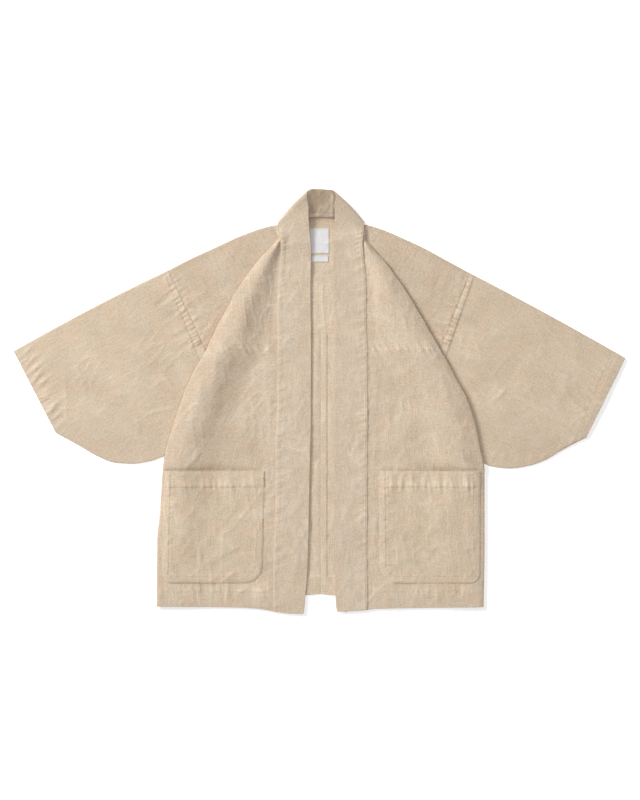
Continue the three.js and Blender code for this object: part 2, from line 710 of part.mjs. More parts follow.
function collar() {
  const half = (side) => [
    bandRow(side, -411, -430, true),
    ...BAND_LEVELS.map((y) => bandRow(side, y, y)),
    ...BAND_NECK.map(({ seamY, openY }) => bandRow(side, seamY, openY)),
    ...neckFold(side),
  ];
  const [left, right] = [half('left'), half('right').reverse()];
  const [from, to] = [left.at(-1).at(-1), right[0].at(-1)];
  const stations = [...NECK_STATIONS.map((x) => -x), ...NECK_STATIONS.slice(0, -1).reverse()];
  const back = stations.map((seamX, i) => {
    const s = (i + 1) / (stations.length + 1);
    const open = from.clone().lerp(to, s);
    return fractions(BAND_ACROSS).map((t) =>
      point(
        mix(seamX, open.x, t),
        mix(neckAt(Math.abs(seamX)), open.y + COLLAR_RISE * Math.sin(Math.PI * s), t),
        COLLAR_THICK / 2,
      ),
    );
  });
  return wall([...left, ...back, ...right], COLLAR_THICK);
}

// Woven labels, sewn inside the back of the neck. They are blank.
function label({ x, y, width, height }) {
  const geometry = new THREE.BoxGeometry(width, height, LABEL_THICK);
  geometry.translate(x, y, CANVAS + SEAM_GAP + LABEL_THICK / 2);
  return geometry;
}

const linen = (name, tone) => {
  const material = new THREE.MeshStandardMaterial({ color: tone, roughness: 0.92, metalness: 0 });
  material.name = name;
  return material;
};

const coat = new THREE.Group();
coat.name = 'happi_coat';

function add(name, geometry, material) {
  const mesh = new THREE.Mesh(geometry, material);
  mesh.name = name;
  coat.add(mesh);
}

add('yoke', yoke(), linen('yoke linen', 0xcdb394));
add('back_left', backPanel('left'), linen('back linen left', 0xc7ad8e));
add('back_right', backPanel('right'), linen('back linen right', 0xc7ad8e));
for (const side of ['left', 'right']) {
  add(`front_${side}`, front(side), linen(`front linen ${side}`, 0xd2ba9c));
  add(`sleeve_${side}`, sleeve(side), linen(`sleeve linen ${side}`, 0xd4bd9f));
  add(`pocket_${side}`, pocket(side), linen(`pocket linen ${side}`, 0xd0b899));
}
add('collar_band', collar(), linen('collar linen', 0xd3bc9e));
const labelCloth = new THREE.MeshStandardMaterial({ color: 0xe4e2e4, roughness: 0.7, metalness: 0 });
add('label_main', label({ x: -0.3, y: 319.8, width: 37.4, height: 50.4 }), labelCloth);
add('label_small', label({ x: 0.5, y: 284.3, width: 33, height: 13.4 }), labelCloth);

export default coat;
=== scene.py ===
"""A happi coat of washed linen canvas, laid flat on its back with its fronts open.

Every piece of cloth is a thin closed shell through a grid of points on its middle surface.
The tables and formulas are those of the part's solids, on finer grids, and the creases,
seam puckers and wash wrinkles are added as relief on the plies that lie uppermost.
Tables are in millimetres, in the part's frame. Left and right are as seen from above.
"""

import math

import bpy
import numpy as np
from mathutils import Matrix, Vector
from mathutils.bvhtree import BVHTree


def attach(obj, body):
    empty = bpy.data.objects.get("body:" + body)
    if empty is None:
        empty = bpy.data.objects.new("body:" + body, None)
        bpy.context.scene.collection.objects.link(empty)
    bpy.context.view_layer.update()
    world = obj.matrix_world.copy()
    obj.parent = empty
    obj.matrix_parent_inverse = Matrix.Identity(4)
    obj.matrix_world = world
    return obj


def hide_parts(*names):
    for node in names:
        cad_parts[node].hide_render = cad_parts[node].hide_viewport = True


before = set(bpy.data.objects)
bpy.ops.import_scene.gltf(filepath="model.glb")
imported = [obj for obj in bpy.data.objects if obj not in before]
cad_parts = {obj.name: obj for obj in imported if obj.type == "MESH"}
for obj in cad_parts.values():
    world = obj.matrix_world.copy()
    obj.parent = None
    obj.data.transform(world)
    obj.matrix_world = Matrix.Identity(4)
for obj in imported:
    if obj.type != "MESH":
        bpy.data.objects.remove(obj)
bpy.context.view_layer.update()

MM = 0.001
SIGN = {"left": -1, "right": 1}
SIDES = tuple(SIGN)

# Cloth and making
CANVAS = 1.2  # one layer of the linen canvas
COLLAR_THICK = 2.6  # the collar band: two layers and the turnings between them
LABEL_THICK = 0.7
SEAM_GAP = 0.04  # clear space between two pieces at a seam
POCKET_LIFT = 1.7  # the pocket's middle over that of the front
LABEL_LIFT = 0.62  # a label's middle over the cloth under it
TURNING = 0.8  # what a turned hem or a felled seam adds
HALF = CANVAS / 2
BACK_Z = HALF  # the middle of a layer that lies on the table
SHOULDER_Z = 2.6
CUFF_Z = 4.3

# Levels along the coat
YOKE_SEAM_Y = 101.5
BACK_SEAM_Y = 133.5
YOKE_TOP_Y = 347
CENTRE_SEAM_X = 3
FELL_WIDTH = 12  # the felled seam down the middle of the back
ARM_FELL = 9  # the felled armhole seams
BACK_HEM = 34
BACK_HEM_LOW = -409
FRONT_HEM = 29
STEP = 3  # width over which a raised hem falls to the plain cloth
ARMHOLE_FOOT = 3  # the armhole's lower end over the yoke seam
RIDGE_CREST = 34  # from a front's rolled edge to its crest
RIDGE_FOOT = 120  # and to where it lies low again
CREST_SHARE = 0.35  # where the front is narrow, the same as shares of its width
FOOT_SHARE = 0.94
SIDE_X = 330  # beyond both side edges of the fronts


def table(columns, text):
    """Rows of numbers, read from a text."""
    return np.array(text.split(), float).reshape(-1, columns)


# y, left edge, right edge, left band seam, right band seam
OUTLINE = table(5, """
352 87.5 94.5 82.5 89.5
335 86 93.5 80 87.8
322 85 93.5 78 86.3
316 87.5 95 77.6 86
310 92 98.5 77.5 86
300 102 108 77.6 86.5
270 130 137 79 90
230 160 167 82 93
180 188 197 84 93
140 209 221 84 94
100 228 244 84 95.5
50 256 271 84 96
0 276 297 84 96
-50 293 313 86 96
-100 307.5 323 88 95.5
-140 314 330 87.5 95.5
-220 319 330 88 95.5
-280 325 330 91 95
-420 326 328 93 96
""")

# y, turn, roll, hidden roll, tuck, height under, crest, height at the band seam
PLEAT = table(8, """
347 0 5 4 0.6 2.6 0 2.6
338 55 5.5 4 1.5 2.9 0.5 3.6
326 130 7 4 2.5 4.4 1.2 5
312 180 8 4.08 6 5.2 2 5
270 180 9.6 4.08 22 5.2 3.6 4.4
230 180 10.7 4.08 34 5.2 5 3.8
180 180 11.3 4.08 44 5.2 5.8 3.6
100 180 11.3 4.08 54 5.2 6.2 3.6
40 180 11.3 4.08 52 5.2 5.8 3.6
0 180 11.3 4.08 44 5.2 5.4 3.6
-50 180 10.8 4.08 30 5.2 4.6 3.6
-100 180 9.5 4.08 10 5.1 3.8 3.6
-131 180 9.2 4.08 6 5 3.8 3.6
-141 180 8.8 4.08 5 3 4.4 3.6
-154 180 8.5 4.08 5 2.4 4 3.6
-220 180 7.8 4.08 5 2.4 2.6 3.6
-340 180 7 4.08 5 2.6 1.4 4
-420 180 5.8 4.08 5 3.2 0.6 4.4
""")

# x, left y, right y of the shoulder line
SHOULDER = table(3, """
82 352.6 353.5
96 350 351.5
111 346.5 347.5
135 338.5 339
159 329.5 328.5
207 307.5 306.5
255 285.5 280.5
302 261.5 255
""")

# x, y of the neck edge of the back
NECK = table(2, "0 367.3  24 366.5  48 363.5  60 360  70 355.6  78 350")

# top, x and y of the lower end, for each section of a sleeve
SLEEVE = {"left": table(3, """
612 527 -64.5
597 512 -72.5
560 478 -91.5
520 444 -111
480 410 -123.5
440 375 -126
405 340 -121
375 305 -108
345 262 -86
322 218 -49
310 195 -24
302 179 -3
"""), "right": table(3, """
612 533 -74.5
597 517 -82
560 482 -101
520 449 -120
480 415 -131
440 380 -135.5
405 345 -131.5
375 312 -117
345 272 -95
322 232 -58
310 209 -34
301 193 -14
""")}

# y, left and right edge of the back panels
BACK_EDGE = table(3, """
133.5 241.5 251.5
60 207.3 222
0 177.5 197.5
-15 181.5 191
-34 199 205
-58 224 226
-95 271 263
-112 300 298
-124 310 318
-150 313 327
-280 323 328
-420 324 326
""")

# y, left and right free edge of the collar band, and its height there
OPENING = table(4, """
402 21 30 19
372 22 31 13.5
335 19.5 29.5 9
300 17 28 6.6
230 18 29 5
100 17 31 4.3
-50 17.5 31 4.2
-126 19.5 31 4.2
-240 21.5 31 4.2
-348 25 31.5 4.4
-390 29 32.5 4.8
-430 34 37 4.8
""")

NECK_FOLD = {"left": ((83, 351.9), (24, 402.4)), "right": ((89, 351.9), (32, 400.4))}
FOLD_ROLL_SEAM = 3
SEAM_START = 6.0  # height of the seam edge where the fold starts, over the collar on the table
FOLD_LEAN = 1.15
COLLAR_RISE = 0.8  # how far the free edge bows up the coat behind the neck
# turn, x and y from the start of the fold, and height of the standing collar's free edge
FREE_EDGE = table(4, """
0 0 0 19.3
0.25 0.8 6 22
0.5 0.4 12 23.5
0.8 -3.5 17 24
1 -8 19 24
""")
CUFF_TOP_Y = {"left": 99.5, "right": 85.5}
SHOULDER_POINT = {"left": (302, 261.5), "right": (301, 255.5)}
ARMHOLE_SLOPE = {"left": 0.467, "right": 0.401}

POCKET_TOP = -141
POCKET_BOTTOM = -364.5
POCKET_HEM_Y = POCKET_TOP - 31
POCKET_INNER = {"left": (110, 115), "right": (119.5, 121)}
POCKET_OUTER = {"left": (309, 315), "right": (321, 321)}
INNER_CORNER = 36
OUTER_CORNER = 20
STRIP = 12.5  # width of the double-stitched strip round a pocket
POCKET_CLOSE = 18  # width of the closer columns at both of its sides

# x, left and right cut edge of the fronts and the band; x, cut edge of the back
FRONT_HEM_EDGE = table(3, """
34 -426.5 -421.8
60 -425.3 -421
93 -420.7 -418.5
116 -416.5 -416
160 -413.5 -415
240 -412.3 -413.5
330 -411.5 -412.5
""")
BACK_HEM_EDGE = table(2, "0 -386.5  31 -389.5  150 -401  326 -409")


def line(rows, column):
    """Smooth line through one column of a table, against its first column.

    Cubic between the rows, with the harmonic mean of the two slopes at each row, so that it
    doesn't overshoot. It is level beyond both ends.
    """
    rows = rows[np.argsort(rows[:, 0])]
    at, height = rows[:, 0], rows[:, column]
    rise = np.diff(height) / np.diff(at)
    product, total = rise[:-1] * rise[1:], rise[:-1] + rise[1:]
    inner = np.where(product > 0, 2 * product / np.where(total == 0, 1, total), 0)
    slope = np.concatenate([rise[:1], inner, rise[-1:]])

    def value(x):
        x = np.clip(x, at[0], at[-1])
        i = np.clip(np.searchsorted(at, x) - 1, 0, len(at) - 2)
        span = at[i + 1] - at[i]
        t = (x - at[i]) / span
        start = (1 + 2 * t) * (1 - t) ** 2 * height[i] + t * (1 - t) ** 2 * span * slope[i]
        return start + t * t * (3 - 2 * t) * height[i + 1] + t * t * (t - 1) * span * slope[i + 1]

    return value


def both(rows, first):
    return {"left": line(rows, first), "right": line(rows, first + 1)}


edge_at = both(OUTLINE, 1)
seam_at = both(OUTLINE, 3)
shoulder_at = both(SHOULDER, 1)
back_edge_at = both(BACK_EDGE, 1)
opening_at = both(OPENING, 1)
opening_z = line(OPENING, 3)
neck_at = line(NECK, 1)
front_hem_at = both(FRONT_HEM_EDGE, 1)
back_hem_at = line(BACK_HEM_EDGE, 1)
BACK_HEM_Y = back_hem_at(0) + BACK_HEM
pleat_names = "turn roll hidden_roll tuck under crest low".split()
pleat_at = {name: line(PLEAT, i + 1) for i, name in enumerate(pleat_names)}


def mix(a, b, t):
    return a + (b - a) * t


def ease(low, high, x):
    """0 below low, 1 above high, and a smooth rise between."""
    t = np.clip((x - low) / (high - low), 0, 1)
    return t * t * (3 - 2 * t)


def bell(off, width):
    """1 in the middle, falling off with the square of the distance from it."""
    return np.exp(-((off / width) ** 2))


def arch(t):
    """Half a sine: 0 at both ends, 1 in the middle."""
    return np.sin(np.pi * t)


def unit(vectors):
    return vectors / np.maximum(np.linalg.norm(vectors, axis=-1, keepdims=True), 1e-9)


def through(first, *rest):
    """Even steps from a value, by a number of points, to the next value, and so on."""
    values = [[first]]
    for count, last in zip(rest[::2], rest[1::2]):
        values.append(np.linspace(first, last, count)[1:])
        first = last
    return np.concatenate(values)


def armhole_at(side, y):
    x, top = SHOULDER_POINT[side]
    return x - (top - y) * ARMHOLE_SLOPE[side]


def front_at(side, y):
    """A front's pleat, where its ridge ends at the band and at the rolled edge, and its height."""
    p = {name: at(y) for name, at in pleat_at.items()}
    radius = p["roll"] / np.pi
    seam = seam_at[side](y) + SEAM_GAP / 2
    return p, seam, edge_at[side](y) - HALF - radius, p["under"] + 2 * radius


def arc(length, start, end, steps):
    """Points along an arc in each row: it turns evenly from one heading to another."""
    turn = (end - start) / steps
    half = np.where(np.abs(turn) < 1e-6, 1e-6, turn) / 2
    chord = length / steps * np.sin(half) / half
    heading = start + (np.arange(steps) + 0.5) * turn
    return np.cumsum(chord * np.cos(heading), 1), -np.cumsum(chord * np.sin(heading), 1)


def ridge(inward, width, edge_z, crest, low):
    """Height of a front: a quarter sine up to the crest, then half a cosine down to the seam."""
    crest_at = np.minimum(RIDGE_CREST, CREST_SHARE * width)
    foot = np.minimum(RIDGE_FOOT, FOOT_SHARE * width)
    rising = edge_z + crest * np.sin(np.pi / 2 * np.clip(inward / crest_at, 0, 1))
    down = np.clip((inward - crest_at) / (foot - crest_at), 0, 1)
    falling = low + (edge_z + crest - low) * (0.5 + 0.5 * np.cos(np.pi * down))
    return np.where(inward < crest_at, rising, falling)


# Relief

WRINKLE_HEIGHT = 1.9
ARM_RELIEF = 1.0  # relief at the armhole seam, the same on both of its sides
LATTICE = 97  # nodes each way before the noise repeats


def soft_noise(x, y, size, seed):
    """Smooth noise from -1 to 1: random heights on a lattice, eased between its nodes."""
    heights = np.random.default_rng(seed).uniform(-1, 1, (LATTICE, LATTICE))
    gx, gy = x / size + 31.7, y / size + 27.3
    i, j = np.floor(gx).astype(int), np.floor(gy).astype(int)
    u, v = ease(0, 1, gx - i), ease(0, 1, gy - j)
    i, j, right, up = (k % LATTICE for k in (i, j, i + 1, j + 1))
    low, high = (mix(heights[i, row], heights[right, row], u) for row in (j, up))
    return mix(low, high, v)


def wash_wrinkles(x, y, angle, seed):
    """Fine uneven wrinkles left by washing: sharp crests where two slanted noises cross zero."""
    total = 0
    for turn, size, height in ((0.35, 15, 0.55), (-0.5, 20, 0.5), (1.35, 26, 0.45)):
        c, s = math.cos(angle + turn), math.sin(angle + turn)
        wave = soft_noise((x * c + y * s) / 2.6, y * c - x * s, size, seed)
        patch = ease(-0.3, 0.7, soft_noise(x, y, 70, seed + 5))
        total = total + height * patch * (1 - np.abs(wave)) ** 5
        seed += 11
    return WRINKLE_HEIGHT * total


def body_swell(x, y, seed):
    """Slow rise and fall of cloth that doesn't lie quite flat: noise of three sizes."""
    sizes = enumerate(((0.8, 75), (0.45, 34), (0.16, 13)))
    return sum(height * soft_noise(x, y, size, seed + k) for k, (height, size) in sizes)


def along_line(x0, y0, x1, y1, x, y):
    """Length of a straight line, and how far along and to the left of it each place is."""
    length = math.hypot(x1 - x0, y1 - y0)
    ux, uy = (x1 - x0) / length, (y1 - y0) / length
    return length, (x - x0) * ux + (y - y0) * uy, (y - y0) * ux - (x - x0) * uy


def creases(x, y, rows):
    """Soft folds at given places. Each row is x0, y0, x1, y1, bow, half width and height.

    The height falls off with the square of the distance from the bowed line and tapers
    towards both ends. A negative height is a trough.
    """
    total = np.zeros_like(x)
    for x0, y0, x1, y1, bow, width, height in rows:
        length, along, across = along_line(x0, y0, x1, y1, x, y)
        inside = np.clip(along / length, 0, 1)
        off = np.hypot(across - 4 * bow * inside * (1 - inside), along - inside * length)
        total = total + height * (0.35 + 0.65 * arch(inside)) * bell(off, width)
    return total


def along_path(path, x, y):
    """Length along a path to the nearest place on it, and the signed distance from it."""
    best = np.full(x.shape, 1e9)
    run, off = np.zeros(x.shape), np.zeros(x.shape)
    start = 0.0
    for first, last in zip(path[:-1], path[1:]):
        length, along, across = along_line(*first, *last, x, y)
        inside = np.clip(along, 0, length)
        distance = np.hypot(along - inside, across)
        nearer = distance < best
        best = np.where(nearer, distance, best)
        run = np.where(nearer, start + inside, run)
        off = np.where(nearer, np.where(across < 0, -distance, distance), off)
        start += length
    return run, off


def puckers(x, y, path, spacing, reach, height, seed, lean):
    """Small folds across a seam, uneven in spacing, height and reach.

    Bumps along the seam's length, leaning a little, that die out with distance from it.
    """
    run, off = along_path(path, x, y)
    rng = np.random.default_rng(seed)
    s = np.arange(-20, 2000, 0.5)
    total = 0
    for step, far, share in ((spacing, reach, 1.0), (2.7 * spacing, 2.3 * reach, 0.7)):
        count = int(2400 / step)
        places = np.cumsum(rng.uniform(0.55, 1.5, count)) * step
        profile = np.zeros_like(s)
        for place, rise in zip(places, rng.uniform(0.25, 1.0, count)):
            near = slice(*np.searchsorted(s, (place - step, place + step)))
            profile[near] += rise * bell(s[near] - place, 0.3 * step)
        wave = np.interp(run + lean * off, s, profile)
        total = total + share * height * wave * np.exp(-np.abs(off) / far)
    return total


def tucks(x, y, path, spacing, width, seed):
    """Narrow tucks across a path, uneven in spacing and depth: 1 in the deepest of them."""
    run = along_path(path, x, y)[0]
    rng = np.random.default_rng(seed)
    places = np.cumsum(rng.uniform(0.5, 1.5, 60)) * spacing
    pairs = zip(places, rng.uniform(0.3, 1, 60))
    return sum(depth * bell(run - place, width) for place, depth in pairs)


def groove(x, y, path, width, depth):
    """The line that a row of stitches draws into the cloth."""
    return -depth * bell(along_path(path, x, y)[1], width)


def cloth_relief(x, y, swell, wash, rows=(), across=(), along=()):
    """Swell, wash wrinkles and creases, with puckers across seams and grooves along them.

    swell is a share and a seed, wash a share, an angle and a seed. A row of across or along
    holds what puckers or groove takes after x and y.
    """
    height = swell[0] * body_swell(x, y, swell[1]) + wash[0] * wash_wrinkles(x, y, *wash[1:])
    height = height + creases(x, y, rows)
    for row in across:
        height = height + puckers(x, y, *row)
    for row in along:
        height = height + groove(x, y, *row)
    return height


def level_path(x0, x1, y):
    return np.array([(x0, y), (x1, y)])


def seam_path(side, y_from, y_to, offset=0.0):
    """A line beside the band's seam, its distance from the middle greater by offset."""
    y = np.linspace(y_from, y_to, 60)
    return np.stack([SIGN[side] * (seam_at[side](y) + offset), y], 1)


def armhole_path(side, offset=0.0):
    """A line beside the armhole seam, outward by offset."""
    y = np.array([YOKE_SEAM_Y + ARMHOLE_FOOT + 2, SHOULDER_POINT[side][1] - 2])
    return np.stack([SIGN[side] * (armhole_at(side, y) + offset), y], 1)


def meet_at_armhole(side, x, y, height):
    """Brings the relief to one height along the armhole seam."""
    return mix(ARM_RELIEF, height, ease(0, 4, np.abs(along_path(armhole_path(side), x, y)[1])))


def yoke_seam_path(side, offset=0.0):
    near, far = seam_at[side](YOKE_SEAM_Y) + 1, edge_at[side](YOKE_SEAM_Y) - 2
    return level_path(SIGN[side] * near, SIGN[side] * far, YOKE_SEAM_Y + offset)


def front_hem_path(side, far):
    s = SIGN[side]
    return level_path(s * 98, s * far, front_hem_at[side](SIDE_X) + FRONT_HEM)


# Rows of creases: x0, y0, x1, y1, bow, half width, height
FRONT_CREASES = {"left": table(7, """
-139 196 -138 116 3 10 -1.3
-162 94 -200 -34 -5 13 -1.1
-200 -30 -222 -84 -3 12 -0.8
-255 -139 -135 -139 2 9 -1.9
-239 -100 -267 -133 2 4 1.5
-112 242 -108 122 2 5 0.8
-98 205 -101 60 -2 5 0.8
-109 84 -112 -58 3 6 0.8
-97 22 -99 -106 -2 5 0.8
-122 -364 -119 -409 1 4.5 1.2
-110 -368 -109 -407 -1 4 1
-100 -362 -103 -405 0 3.5 0.9
-185 -372 -188 -404 1 5 0.8
-262 -374 -259 -406 1 6 0.7
-103 -306 -92 -332 0 4 0.9
-205 98 -222 22 2 6 0.7
-236 30 -262 -60 3 7 0.8
-166 230 -188 150 2 5 0.6
-150 -10 -158 -90 3 9 0.8
-120 -60 -128 -134 -3 7 -0.8
"""), "right": table(7, """
281 -50 285 -84 2 4 1.2
289 -104 322 -134 -3 9 -2.4
190 -136 285 -140 2 9 -1.5
109 -366 113 -404 1 4.5 1.3
187 -372 189 -405 0 5 1
235 -372 235 -404 1 5 1
290 -370 287 -406 -1 6 0.8
118 240 121 130 -2 6 0.7
108 88 112 -20 2 5 0.8
150 196 158 118 2 7 -0.8
176 90 204 -18 4 10 -1
240 60 262 -20 -2 7 0.8
128 20 134 -110 3 9 0.7
222 -30 238 -112 3 9 0.7
112 -60 106 -132 2 5 0.8
110 -200 108 -330 2 4 0.6
""")}
SHOULDER_CREASES = {"left": table(7, """
-206 170 -226 140 1 4 0.8
-196 196 -214 184 1 4 0.7
-178 300 -214 262 3 7 0.7
-150 322 -170 278 -2 6 -0.6
"""), "right": table(7, """
222 168 246 152 1 4 1
186 292 230 252 3 7 0.7
262 262 240 214 -2 6 0.7
206 222 240 196 2 5 0.6
""")}
SLEEVE_CREASES = {"left": table(7, """
-326 74 -316 62 0 6 -1.6
-399 122 -323 66 2 3.5 1
-323 66 -279 10 -2 3.5 1
-345 -27 -289 -16 2 4 1.1
-369 -28 -361 -59 1 3.5 0.9
-595 77 -577 91 0 3.5 1.3
-575 33 -565 47 0 3.5 1.3
-555 7 -537 19 0 4 1.3
-545 -27 -527 -12 0 4 1.3
-511 52 -507 -39 2 4 0.6
-300 214 -322 194 1 5 -2
-280 184 -306 166 1 5 -2
-264 142 -292 124 1 5 -2.2
-256 118 -280 102 1 4.5 -1.8
-470 96 -400 20 5 14 0.9
-430 150 -360 96 -4 12 0.8
-480 10 -410 -60 4 11 0.9
-300 60 -262 -20 4 10 -1
-390 -60 -330 -86 -3 7 0.7
"""), "right": table(7, """
285 62 335 27 2 6 1.4
276 96 318 78 2 6 1
357 25 373 10 0 3.5 1
358 9 372 26 0 3.5 1
341 -3 371 19 -1 4.5 1.1
395 8 525 -53 -4 6 1.1
306 18 330 -22 2 7 1
300 20 360 40 3 9 -0.8
345 -118 352 -98 0 4.5 1.2
366 -124 371 -106 0 4.5 1
392 -128 398 -110 0 5 1.2
418 -128 426 -110 0 4.5 1
446 -120 455 -103 0 5 1.2
478 -104 486 -86 0 4.5 1
505 -88 512 -72 0 4.5 1
452 110 400 40 -5 13 0.8
500 60 460 -20 4 12 0.8
380 160 330 120 4 10 0.6
318 204 344 190 1 5 -1
300 160 322 150 1 5 -0.9
""")}
POCKET_CREASES = {"left": table(7, """
-211 -328 -157 -300 2 8 -1.5
-157 -300 -121 -278 1 8 -1.2
-205 -318 -150 -288 2 5 0.8
-241 -288 -239 -333 1 4 1.3
-288 -306 -279 -346 1 7 -1.7
-296 -205 -283 -204 0 9 1.6
-259 -168 -219 -241 -3 15 -1.4
-156 -232 -142 -232 7 3 0.9
-156 -232 -142 -232 -7 3 0.9
-180 -160 -176 -214 2 7 0.8
-270 -250 -282 -290 2 9 0.9
-190 -250 -196 -300 3 10 0.7
-150 -158 -152 -174 0 3.5 0.9
-196 -157 -197 -172 0 3.5 0.8
-224 -157 -223 -174 0 3.5 0.9
"""), "right": table(7, """
143 -145 145 -178 1 4 1.5
167 -144 165 -174 -1 4 1.3
183 -144 184 -180 1 4 1.5
211 -144 209 -174 1 4.5 1.3
235 -144 237 -182 -1 4.5 1.6
255 -145 254 -176 1 4 1.3
291 -144 289 -186 2 5 1.6
131 -200 149 -201 1 4 1
135 -248 156 -261 1 4 1
259 -254 284 -318 3 14 -1.8
195 -324 220 -341 1 9 -1.5
178 -196 190 -262 -3 10 0.8
236 -210 230 -268 3 9 0.8
296 -220 300 -290 -2 7 0.8
150 -290 172 -330 2 8 0.8
""")}
BAND_CREASES = {"left": table(7, """
-61 348 -67 294 1 7 -1.5
-71 113 -55 128 0 4 1.1
-48 280 -52 200 2 8 0.6
-40 60 -46 -40 2 9 0.6
-60 -120 -52 -200 -2 8 0.6
-50 -300 -56 -370 2 9 0.6
"""), "right": table(7, """
53 -96 87 -134 1 5 1.2
60 300 74 262 1 7 1
48 220 52 140 -2 8 0.6
60 20 54 -60 2 8 0.6
50 -200 56 -280 2 8 0.6
84 330 88 300 0 5 1
56 -330 60 -400 -2 8 0.6
""")}
BACK_CREASES = table(7, """
5 242 13 122 -2 4 1
25 168 24 148 0 3.5 0.9
-12 230 -9 150 2 5 0.6
-8 100 -12 -20 1 6 0.7
20 20 24 -120 1 6 0.7
-10 -160 -6 -300 1 6 0.6
-16 262 18 258 2 4 0.5
""")

# Where the two sides of the photograph's coat are gathered differently
YOKE_PUCKERS = {"left": 2.2, "right": 3.6}
POCKET_PUCKERS = {"left": 1.9, "right": 3.0}
POCKET_SAG = {"left": 0.8, "right": 1.6}
# The pocket's gathered hem is only painted, not modelled: painted shade in each gather on a painted
# paler band. The cuff's tucks are modelled and also get painted shade.
POCKET_GATHER_SHADE = {"left": 0.8, "right": 1.5}
CUFF_TUCKS = {"left": 1.0, "right": 0.35}


def front_section(side, y, top, roll, tuck, hidden=0):
    """A front across the coat: x and height of its columns, their wobble and the upper ply.

    A ridge from the band to the rolled edge, an arc round it and a straight layer under it.
    The yoke's hidden roll is an arc back to the shoulder's height. The upper ply is 1 over the
    top columns, falling to 0 round the roll, and 0 under it.
    """
    p, seam, start, edge_z = front_at(side, y)
    turn = np.radians(p["turn"])
    x, z = arc(p["roll"], 0 * turn, turn, roll)
    under = np.linspace(0, 1, tuck + 1)[1:] * p["tuck"]
    x = np.concatenate([x, x[:, -1:] + under * np.cos(turn)], 1)
    z = np.concatenate([z, z[:, -1:] - under * np.sin(turn)], 1)
    low = p["low"]
    if hidden:
        back_x, back_z = arc(p["hidden_roll"], turn, 0 * turn, hidden)
        x = np.concatenate([x, x[:, -1:] + back_x], 1)
        z = np.concatenate([z, z[:, -1:] + back_z], 1)
        edge_z = SHOULDER_Z - z[:, -1:]
        low = np.minimum(low, edge_z)
    even = np.linspace(0, 1, top)
    width = start - seam
    inward = (1 - even) * width
    top_z = ridge(inward, width, edge_z, p["crest"], low)
    shift = np.concatenate([even**2, np.ones(roll + tuck), np.zeros(hidden)])
    fall = np.cos(np.linspace(0, np.pi / 2, roll + 1)[1:]) ** 2
    ply = np.concatenate([np.ones(top), fall, np.zeros(tuck + hidden)])
    wobble = shift * cloth_edge_wobble(y, 91 + SIGN[side])
    x = start + np.concatenate([-inward, x], 1)
    return x, np.concatenate([top_z, edge_z + z], 1), wobble, ply


def cloth_edge_wobble(y, seed):
    """How far a rolled edge wanders in or out along its length."""
    return 0.9 * soft_noise(y, 0 * y, 31, seed) + 0.5 * soft_noise(y, 0 * y, 12, seed + 1)


def front_relief(side, x, y):
    """Relief of a front's upper ply: the same above and below the yoke seam."""
    s = SIGN[side]
    away = s * x
    seam, band, hem = yoke_seam_path(side), seam_path(side, -412, 340), front_hem_path(side, 326)
    height = cloth_relief(
        x, y, (0.55, 3), (1, 1.35, 40), FRONT_CREASES[side],
        [
            (seam, 11, 8, YOKE_PUCKERS[side], 61 + s, 0.6),
            (band, 9, 8, 1.2, 71 + s, 0.3),
            (hem, 13, 10, 2.0, 81 + s, 0.15),
        ],
        [(seam, 1.8, 0.25), (yoke_seam_path(side, 7), 1.6, 0.25), (hem, 1.5, 0.5)],
    )
    inner, outer = POCKET_INNER[side][0], POCKET_OUTER[side][0]
    over_pocket = ease(inner - 2, inner + 10, away) * ease(outer + 2, outer - 6, away)
    height = height - 1.3 * over_pocket * bell(y - POCKET_TOP - 1.5, 3.5)
    at_seam = 0.6 + 0.4 * ease(0, 10, away - seam_at[side](y))
    return height * ease(0, 9, edge_at[side](y) - away) * at_seam


TIGHT = 0.22  # share of the outermost cells that the added row or column stands in from the edge
UPRIGHT = 0.04  # softens the relief's change of side where the cloth stands upright
RIM_BULGE = 0.15  # how far the rim stands out, as a share of the thickness


def tighten(a, ring):
    """Adds a row and a column close inside each edge, so that only the rim looks rounded."""
    for axis in (0,) if ring else (0, 1):
        a = np.moveaxis(a, axis, 0)
        first, last = mix(a[0], a[1], TIGHT), mix(a[-1], a[-2], TIGHT)
        a = np.concatenate([a[:1], first[None], a[1:-1], last[None], a[-1:]])
        a = np.moveaxis(a, 0, axis)
    return a


